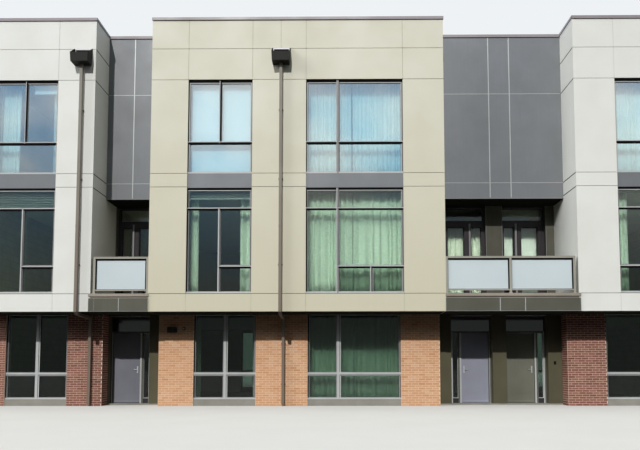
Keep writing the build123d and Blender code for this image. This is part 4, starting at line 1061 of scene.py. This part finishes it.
# near and far: widths of the black bed at a pane's left and right post, wider where a post's shaded side
# faces the camera; there the black paints that shade.
for a, b, count, near, far in ((X_WL + 68, X_BL, 2, 42, 32), (X_BR, X_WR - 80, 3, 12, 40)):
    posts = [a + (b - POST - a) * i / (count - 1) for i in range(count)]
    narrow = count == 2
    for p, x1 in zip(posts, posts[1:]):
        x0, z0, z1 = p + POST, PANE_LOW, GUARD_TOP - 66
        for c, d in ((x0, x0 + near), (x1 - far, x1)):
            gaskets.bar(c, d, 20, 50, z0, z1)
        gaskets.bar(x0 - 3, x1 + 3, 4, 22, z1 - 18, z1 + 16)
        gaskets.bar(x0 + near, x1 - far, 22, 48, z1 - 40, z1)
        gaskets.bar(x0 + near, x1 - far, 22, 48, z0, z0 + 8)
    for p in posts:
        lo = max(p - 25, a - 25 if narrow else a + 1)
        hi = min(p + POST + 25, b - 1 if narrow else b + 25)
        plates.bar(lo, hi, -8, 78, DECK_TOP, DECK_TOP + 12)
        for x in (lo + 10, hi - 10):
            for y in (2, 68):
                plates.tube((x, y, DECK_TOP + 12), (x, y, DECK_TOP + 20), 6, 6)
    plates.bar(a + 1, b - 1, 0, 70, GUARD_TOP - 6, GUARD_TOP + 4)
hook_x = X_WR - 100
plates.tube((hook_x, 0, GUARD_TOP - 20), (hook_x, -26, GUARD_TOP - 26), 7, 8)
plates.tube((hook_x, -26, GUARD_TOP - 24), (hook_x, -30, GUARD_TOP - 75), 7, 8)
gaskets.piece("guard_gaskets", black_seal_and_shade, slot="guard_rail")
plates.piece("guard_plates_and_caps", rail_metal, slot="guard_rail")

# %% [markdown]
# ## Balcony doors
# Each balcony has a fixed frame with a side light and a door with its own stiles. A bright strip up
# the meeting stile, beads round every pane, a lever on a long plate and an aluminium threshold are
# what can be seen between the posts. Each unit is drawn once, along its own width, and turned
# round where it is mirrored.


# %% Balcony door trim
def run(x0, way, u0, u1):
    """A stretch of a unit that starts at x0 and runs right (way 1) or left (way -1)."""
    return sorted((x0 + way * u0, x0 + way * u1))


door_beads, door_strips, door_steel, edges = Kit(), Kit(), Kit(), Kit()
DOOR_Y, LEVER_UP, PLATE_LOW, PLATE_HIGH = BALCONY_Y + DOOR_SET, 4220, 4080, 4300
GLASS_LOW, GLASS_HIGH = TRANSOM2_UP - 110, TRANSOM2_UP + 100
# Along each unit of 1372 mm: side light to 452, meeting stile to 506, door from 536 to 1280
for x0, way in ((C_WL + 45, 1), (PARTY_NICHE - 259, -1), (PARTY_NICHE + 228, 1)):
    for u0, u1, z0, z1 in ((117, 422, FLOOR2_TOP + 180, GLASS_LOW), (655, 1165, FLOOR2_TOP + 300, GLASS_LOW),
                           (60, 1312, GLASS_HIGH, BAY_BOT - 40)):
        door_beads.bead(*run(x0, way, u0, u1), z0, z1, DOOR_Y + 4, DOOR_Y + 69, 16)
    for kit, u0, u1, proud, z0, z1, chamfer in (
            (door_strips, 452, 506, 34, DECK_TOP + 24, GLASS_LOW + 110, 4),
            (door_beads, 1290, 1322, 20, DECK_TOP + 24, BAY_BOT - 20, 3),
            (door_beads, 536, 1280, 14, GLASS_LOW + 16, GLASS_LOW + 92, 3),
            (door_beads, 536, 640, 14, DECK_TOP + 30, GLASS_LOW + 14, 3),
            (door_beads, 1180, 1280, 14, DECK_TOP + 30, GLASS_LOW + 14, 3),
            (door_beads, 642, 1178, 14, DECK_TOP + 30, FLOOR2_TOP + 284, 3)):
        kit.bar(*run(x0, way, u0, u1), DOOR_Y - proud, DOOR_Y, z0, z1, chamfer)
    sill = [(DOOR_Y - out, DECK_TOP + up) for out, up in ((60, 0), (56, 8), (1, 22), (1, 0))]
    door_strips.prism(sill, *run(x0, way, 30, 1342))
    x = x0 + way * 588
    door_steel.bar(x - 16, x + 16, DOOR_Y - 24, DOOR_Y - 14, PLATE_LOW, PLATE_HIGH, 3)
    door_steel.tube((x, DOOR_Y - 20, LEVER_UP), (x, DOOR_Y - 64, LEVER_UP), 9, 12)
    door_steel.tube((x - way * 8.8, DOOR_Y - 62, LEVER_UP), (x + way * 110, DOOR_Y - 62, LEVER_UP), 9, 12)
    door_steel.tube((x, DOOR_Y - 20, LEVER_UP - 100), (x, DOOR_Y - 30, LEVER_UP - 100), 12, 12)
for x in (3706, 5092, 15237, 15738, 17097):
    edges.bar(x, x + 13, BALCONY_Y - 8, BALCONY_Y + 3, DECK_TOP + 2, BAY_BOT - 4, 1)
edges.piece("balcony_panel_edges", frame_grey, slot="fascia")
door_beads.piece("balcony_door_beads", frame_dark, slot="window_frame")
door_strips.piece("balcony_door_strips", frame_grey, slot="window_frame")
door_steel.piece("balcony_door_levers", handle_steel, slot="handle")

# %% [markdown]
# ## Blinds
# Three roller blinds hang behind the right balcony door and two of the upper windows. Each is one
# flat sheet from its tube down to a hem bar. Two second storey windows have pleated blinds, drawn
# up under the window head, where only the edges of their folds can be seen.

# %% Roller blinds
rollers = Kit()


def roller_blind(name, x0, x1, y, z0, z1, top):
    """A drawn roller blind: cloth with a slow ripple, its tube, hem bar and two brackets to `top`."""
    columns, lines, ripple, cloth_t = 24, 20, 2.5, 1.0
    across, down = [i / columns for i in range(columns + 1)], [i / lines for i in range(lines + 1)]
    cloth = [[(x0 + (x1 - x0) * u, y + ripple * math.sin(5 * u + 2 * v) * v, z1 + (z0 - z1) * v)
              for u in across] for v in down]
    back = [[(px, py + cloth_t, pz) for px, py, pz in line] for line in cloth]
    rollers.tube((x0 - 20, y + 22, z1 + 12), (x1 + 20, y + 22, z1 + 12), 22, 16)
    rollers.bar(x0 - 5, x1 + 5, y - 6, y + 8, z0 - 26, z0 + 1, 3)
    for x in (x0 - 24, x1 + 16):
        rollers.bar(x, x + 8, y - 20, y + 48, z1 - 14, z1 + 38)
        rollers.bar(x - 20, x + 28, y - 20, y + 48, z1 + 38, top, 3)
    closed_cloth(name, cloth, back, blind_cloth, "window_frame")


BLIND_Y, BLIND_TOP = 221, HEAD3 - 62
roller_blind("roller_blind", 15820, 17030, BALCONY_Y + 430, 3700, 5830, FLOOR3_BOT)
roller_blind("roller_blind_third", WIN_BN[0] + 65, WIN_BN[1] - 60, BLIND_Y, SILL3 + 40, BLIND_TOP, HEAD3)
roller_blind("roller_blind_left", 1860, 2575, BLIND_Y, 9050, BLIND_TOP, HEAD3)
rollers.piece("blind_rollers_and_hems", light_bar_and_highlight, slot="window_frame")

# %% Pleated blinds
slats = Kit()
PLEAT, PLEAT_FOLD = 50, ((150, 0), (176, 22), (150, 44), (154, 44), (180, 22), (154, 0))
for (a, b), low, hem in ((WIN_BN, 5944, 42), (WIN_WL, 5672, 28)):
    for z in range(low, HEAD2 - 40, PLEAT):
        slats.prism([(y, z + up) for y, up in PLEAT_FOLD], a + 70, b - 60)
    slats.bar(a + 70, b - 60, 142, 184, low - 4 - hem, low - 4, 3)
    slats.bar(a + 70, b - 60, 146, 182, HEAD2 - 20, HEAD2)
slats.piece("pleated_blinds", frame_grey, slot="window_frame")

# %% [markdown]
# ## Entrances
# Each entrance has a flush steel door with a shallow pressed field and a weather bar, a lever on
# a steel plate on both sides, a lock cylinder and three hinges. The frame shows a light bead
# round the side light and the transom. The pieces on the leaf ride on the door's own body and
# swing with it.

# %% Sizes of an entrance
LEAF_Y, LEAF_T, UNIT_W, JAMB, POST_W, LEAF_GAP, LEAF_W = 1755, 45, 1250, 76, 100, 7, 816
LEAF_BOT, LEAF_TOP, BAR_LOW, BAR_HIGH, ENTRY_HEAD, LEVER_Z = 46, 2166, 2173, 2220, 2655, 1060
LEAF_START, POST_OUT, SIDE_END = JAMB + LEAF_GAP, JAMB + LEAF_W + 2 * LEAF_GAP, UNIT_W - JAMB
POST_IN, FIELD_LOW, FIELD_HIGH, FIELD_RIM = POST_OUT + POST_W, LEAF_BOT + 280, LEAF_TOP - 150, 8
RIGHT_ENTRY, HINGE_ZS, HINGE_HALF = PARTY_NICHE + 207, (320, 1120, 1920), 16.5
entry_beads, entry_sills, overheads = Kit(), Kit(), Kit()
print("leaf", LEAF_W, "by", LEAF_TOP - LEAF_BOT)


# %% Parts of an entrance
def entry_frame(x0, way):
    """Beads of the side and top glass, strips up the posts, a black top pane that paints the shade, and the
    threshold.
    """
    for u0, u1, z0, z1 in ((JAMB, SIDE_END, BAR_HIGH, ENTRY_HEAD),
                           (POST_IN, SIDE_END, SLAB_TOP + 150, BAR_LOW)):
        entry_beads.bead(*run(x0, way, u0, u1), z0, z1, LEAF_Y - 22, LEAF_Y + 9, 16)
    for u, w, top in ((JAMB - 32, 14, BAR_HIGH), (POST_OUT + 2, 50, BAR_LOW), (SIDE_END + 2, 34, BAR_HIGH)):
        entry_beads.bar(*run(x0, way, u, u + w), LEAF_Y - 42, LEAF_Y - 30, SLAB_TOP + 2, top, 3)
    overheads.bar(*run(x0, way, 44, UNIT_W - 36), LEAF_Y - 50, LEAF_Y - 42, BAR_HIGH + 4, ENTRY_HEAD - 12, 1)
    sill = [(LEAF_Y - out, SLAB_TOP + up) for out, up in ((60, 0), (56, 1), (16, 4), (8, 0))]
    entry_sills.prism(sill, *run(x0, way, JAMB, POST_OUT))


def leaf_trim(x0, way):
    """The rim of the pressed field, and the weather bar at the foot of the leaf."""
    leaf = Kit()
    a, b = run(x0, way, LEAF_START + 90, LEAF_START + LEAF_W - 130)
    low, high, rim = FIELD_LOW, FIELD_HIGH, FIELD_RIM
    for x, x_end, z, z_end in ((a, b, low, low + rim), (a, b, high - rim, high),
                               (a, a + rim, low + rim, high - rim), (b - rim, b, low + rim, high - rim)):
        leaf.bar(x, x_end, LEAF_Y - 3, LEAF_Y + 1, z, z_end, 1)
    weather_bar = [(LEAF_Y - out, LEAF_BOT + up) for out, up in ((0, 62), (20, 34), (20, 26), (0, 26))]
    leaf.prism(weather_bar, *run(x0, way, LEAF_START + 6, LEAF_START + LEAF_W - 6))
    return leaf


def door_steel_parts(x0, way):
    """A lever, its plate and the lock on both faces of the leaf, and three hinges."""
    steel = Kit()
    x, hinge_x = x0 + way * (LEAF_START + LEAF_W - 75), x0 + way * LEAF_START
    for face, out in ((LEAF_Y, -1), (LEAF_Y + LEAF_T, 1)):
        grip, lock_z = face + out * 32, LEVER_Z - 70
        steel.bar(x - 21, x + 21, *sorted((face, face + out * 9)), LEVER_Z - 108, LEVER_Z + 108, 4)
        steel.tube((x, face, LEVER_Z), (x, face + out * 34, LEVER_Z), 10, 14)
        steel.tube((x + way * 9, grip, LEVER_Z), (x - way * 108, grip, LEVER_Z), 8, 14)
        steel.tube((x, face + out * 7, lock_z), (x, face + out * 13, lock_z), 13, 16)
    back = LEAF_Y + LEAF_T
    for z in HINGE_ZS:
        low, high = z - HINGE_HALF, z + HINGE_HALF
        steel.tube((hinge_x, back + 8, low), (hinge_x, back + 8, high), 6.5, 16)
        steel.bar(*run(hinge_x, way, 0, 32), back, back + 4, low, high, 1)
    return steel


print("hinges at", HINGE_ZS)

# %% Make the entrances
for side, x0, way in (("left", C_WL, 1), ("middle", PARTY_NICHE - 207, -1), ("right", RIGHT_ENTRY, 1)):
    entry_frame(x0, way)
    leaf_trim(x0, way).piece("door_leaf_trim_" + side, FINISH["entry_door_" + side], "door_" + side,
                             "entry_door")
    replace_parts(door_steel_parts(x0, way).piece("door_lever_and_hinges_" + side, handle_steel,
                                                "door_" + side, "handle"), "door_fittings_" + side)
entry_beads.piece("entry_beads", light_bar_and_highlight, slot="entry_frame")
entry_sills.piece("entry_thresholds", strip_metal, slot="entry_frame")
overheads.piece("entry_overhead_panes", black_overhead_glass_and_shade, slot="window_glass")

# %% [markdown]
# ## Lamp, sounder and bell
# Beside the left entrance is a box lamp, not lit here, with an opal plate below its housing that
# would throw its light down the brick. Next to it is a round sounder with a pierced face. The bell
# is a small plate with a button. The housings in the frame are plain, so these take their place.

# %% Small fittings
lamp, opal, sounder, bell = Kit(), Kit(), Kit(), Kit()
lx0, lx1, lz0, lz1 = X_BL + 290, X_BL + 565, 2152, 2315
lamp.prism([(BRICK_Y - out, z) for out, z in (
    (0, lz0), (0, lz1), (98, lz1), (110, lz1 - 12), (110, lz0), (102, lz0), (102, lz0 + 12),
    (12, lz0 + 12), (12, lz0))], lx0, lx1)
opal.bar(lx0 + 6, lx1 - 6, BRICK_Y - 101, BRICK_Y - 13, lz0 + 3, lz0 + 11)
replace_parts(lamp.piece("wall_lamp_housing", lamp_black, slot="lamp"), "wall_lamp")
sx, sz = X_BL + 765, 2272
for radius, near, far in ((55, 0, 14), (48, 14, 30), (40, 30, 36)):
    sounder.tube((sx, BRICK_Y - near, sz), (sx, BRICK_Y - far, sz), radius, 28)
for ring, number in ((12, 6), (25, 12)):
    for i in range(number):
        t = 2 * math.pi * i / number
        x, z = sx + ring * math.cos(t), sz + ring * math.sin(t)
        sounder.tube((x, BRICK_Y - 35, z), (x, BRICK_Y - 39, z), 3, 6)
bx, bz = RIGHT_ENTRY + UNIT_W + 198, 1255
bell.bar(bx - 35, bx + 35, ENTRY_Y - 14, ENTRY_Y, bz - 49, bz + 49, 5)
bell.bar(bx - 28, bx + 28, ENTRY_Y - 20, ENTRY_Y - 12, bz - 41, bz + 41, 4)
bell.tube((bx, ENTRY_Y - 18, bz), (bx, ENTRY_Y - 25, bz), 13, 20)
opal.tube((sx, BRICK_Y - 37, sz), (sx, BRICK_Y - 47, sz), 17, 16)
round_sounder = sounder.piece("sounder", bronze_dark, slot="bell")
opal.piece("opal_plates", opal_plate, slot="lamp")
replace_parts(round_sounder, "door_bells")
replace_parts(bell.piece("door_bell", lamp_black, slot="bell"), "door_bells")

# %% [markdown]
# ## Undersides
# The overhang, the bays and the balconies are boarded below in long boards with a small gap. Their
# near-black finish also paints the deep shade there. Boards repeat by rule, so they are a geometry tree
# again: a count, a pitch and a board.

# %% Soffit boards
BOARD_RULE, known = start_rule("boarding", "Boards", {
    "Length": 3.0, "Depth": 0.7, "Pitch": 0.14, "Gap": 0.008, "Thick": 0.008, "Board": None})
work_out(BOARD_RULE, known, (
    ("count", "DIVIDE", "Depth", "Pitch"), ("count", "FLOOR", "count"), ("x", "MULTIPLY", "Length", 0.5),
    ("y", "ADD", "number", 0.5), ("y", "MULTIPLY", "y", "Pitch"), ("z", "MULTIPLY", "Thick", -0.5),
    ("broad", "SUBTRACT", "Pitch", "Gap")))
lay_boxes(BOARD_RULE, known, ("x", "y", "z"), ("Length", "broad", "Thick"), "Board")
# Each underside: both ends, the margin there, how deep it is, and where it begins
undersides = [(a, b, 5, 0.99, 40, BAND_BOT) for a, b in ((0, C_WL), (C_BL, C_BR), (C_WR, ROW_W))]
for a, b in ((C_WL, C_BL), (C_BR, C_WR)):
    undersides += [(a, b, 30, 0.77, BAY_Y + 50, BAY_BOT), (a, b, 30, 1.40, 60, BAND_BOT)]
laid_boards = []
for a, b, margin, deep, y, z in undersides:
    mesh = evaluated(BOARD_RULE, {
        "Length": (b - a - 2 * margin) / 1000, "Depth": deep, "Board": soffit_board})
    laid_boards.append((mesh, Matrix.Translation(at(a + margin, y, z))))
joined("soffit_boards", laid_boards, soffit_board)

# %% [markdown]
# ## Stage and light
# The floor is plain and pale to the camera, to mirrors and to glass, and darker to the light that
# bounces, so that it doesn't flood the soffits from below. The camera sees a pale flat background.
# Mirrors and glass see a soft cloudy sky instead, but only while a ray hasn't been scattered, so
# that the sky shows in the panes and doesn't light the rooms. One sun stands high on the left in
# front, as the shadows of the bars and gutters ask, with a small softness, two broad lamps fill
# from the sides, and the dome gives a plain even fill.


# %% The floor
def ray_kinds(tree):
    """The kinds of ray, and `mirrored`: 1 for a ray by mirror or glass that was never scattered."""
    known = {socket.name: socket for socket in node(tree, "ShaderNodeLightPath").outputs}
    work_out(tree, known, (
        ("mirrored", "MAXIMUM", "Is Glossy Ray", "Is Transmission Ray"),
        ("straight", "LESS_THAN", "Diffuse Depth", 0.5), ("mirrored", "MULTIPLY", "mirrored", "straight"),
        ("seen", "MAXIMUM", "Is Camera Ray", "mirrored")))
    return known


floor_mesh, reach = bpy.data.meshes.new("stage_floor"), 120
floor_mesh.from_pydata([(-reach, -reach, 0), (reach, -reach, 0), (reach, reach, 0), (-reach, reach, 0)],
                       [], [(0, 1, 2, 3)])
put_in_scene("stage_floor", floor_mesh)
ground = bpy.data.materials.new("pale_studio_floor")
ground.use_nodes = True
tree = ground.node_tree
tree.nodes.clear()
spot = node(tree, "ShaderNodeTexCoord").outputs["Object"]
pale, _ = mottled(tree, spot, 0.8, 3.0, (0.0, 1.0), hexa("D9D9D6"), hexa("D2D2CF"))
dull = node(tree, "ShaderNodeBsdfDiffuse", {"Color": (0.04, 0.04, 0.038, 1)})
open_pale = node(tree, "ShaderNodeBsdfDiffuse", {"Color": pale})
both = node(tree, "ShaderNodeMixShader", {0: ray_kinds(tree)["seen"], 1: dull, 2: open_pale})
node(tree, "ShaderNodeOutputMaterial", {"Surface": both})
floor_mesh.materials.append(ground)
print("floor", 2 * reach, "m wide")

# %% The dome
world = bpy.data.worlds.new("studio_dome")
bpy.context.scene.world = world
world.use_nodes = True
tree = world.node_tree
tree.nodes.clear()
rays = ray_kinds(tree)
way_up = node(tree, "ShaderNodeTexCoord").outputs["Generated"]
height = node(tree, "ShaderNodeSeparateXYZ", {"Vector": way_up}).outputs["Z"]
drift = node(tree, "ShaderNodeTexNoise", {"Vector": way_up, "W": 2.4, "Scale": 5.0, "Detail": 3.0},
             noise_dimensions="4D")
cloudy = node(tree, "ShaderNodeMapRange", {"Value": drift, 1: 0.42, 2: 0.62})
dome = node(tree, "ShaderNodeMix", {0: cloudy, 6: hexa("6FB2E4"), 7: hexa("FFFFFF")}, data_type="RGBA")
over_roofs = node(tree, "ShaderNodeMapRange", {"Value": height, 1: 0.12, 2: 0.36})
sky = node(tree, "ShaderNodeMix", {0: over_roofs, 6: hexa("8C938E"), 7: dome.outputs[2]}, data_type="RGBA")
rise = node(tree, "ShaderNodeMapRange", {"Value": height, 1: 0.2, 2: 0.85})
soft = node(tree, "ShaderNodeMix", {0: rise, 6: (0.012, 0.012, 0.012, 1), 7: (0.62, 0.64, 0.66, 1)},
            data_type="RGBA")
fill = node(tree, "ShaderNodeBackground", {"Color": soft.outputs[2], "Strength": 1.0})
view = node(tree, "ShaderNodeBackground", {"Color": hexa("EEF2F5"), "Strength": 1.0})
glint = node(tree, "ShaderNodeBackground", {"Color": sky.outputs[2], "Strength": 1.25})
unseen = node(tree, "ShaderNodeMixShader", {0: rays["mirrored"], 1: fill, 2: glint})
shown = node(tree, "ShaderNodeMixShader", {0: rays["Is Camera Ray"], 1: unseen, 2: view})
node(tree, "ShaderNodeOutputWorld", {"Surface": shown})
print("dome nodes", len(tree.nodes))

# %% Lamps
for name, energy, spread, colour, place, way in (
        ("studio_sun", 2.44, 1.0, (1.0, 0.975, 0.94), (6000, -20000, 16000), (0.17, 1.0, -0.74)),
        ("studio_side_fill", 1.8, 30, (1.0, 1.0, 1.0), (-20000, -20000, 12000), (1.0, 0.35, -0.45)),
        ("studio_right_fill", 0.22, 40, (1.0, 1.0, 1.0), (42000, -20000, 12000), (-1.0, 0.35, -0.35))):
    lamp_data = bpy.data.lights.new(name, "SUN")
    lamp_data.energy, lamp_data.angle, lamp_data.color = energy, math.radians(spread), colour
    lamp = put_in_scene(name, lamp_data)
    lamp.location = at(*place)
    lamp.rotation_euler = Vector(way).to_track_quat("-Z", "Y").to_euler()
    print(name, energy)
bpy.context.scene.view_settings.view_transform = "Standard"
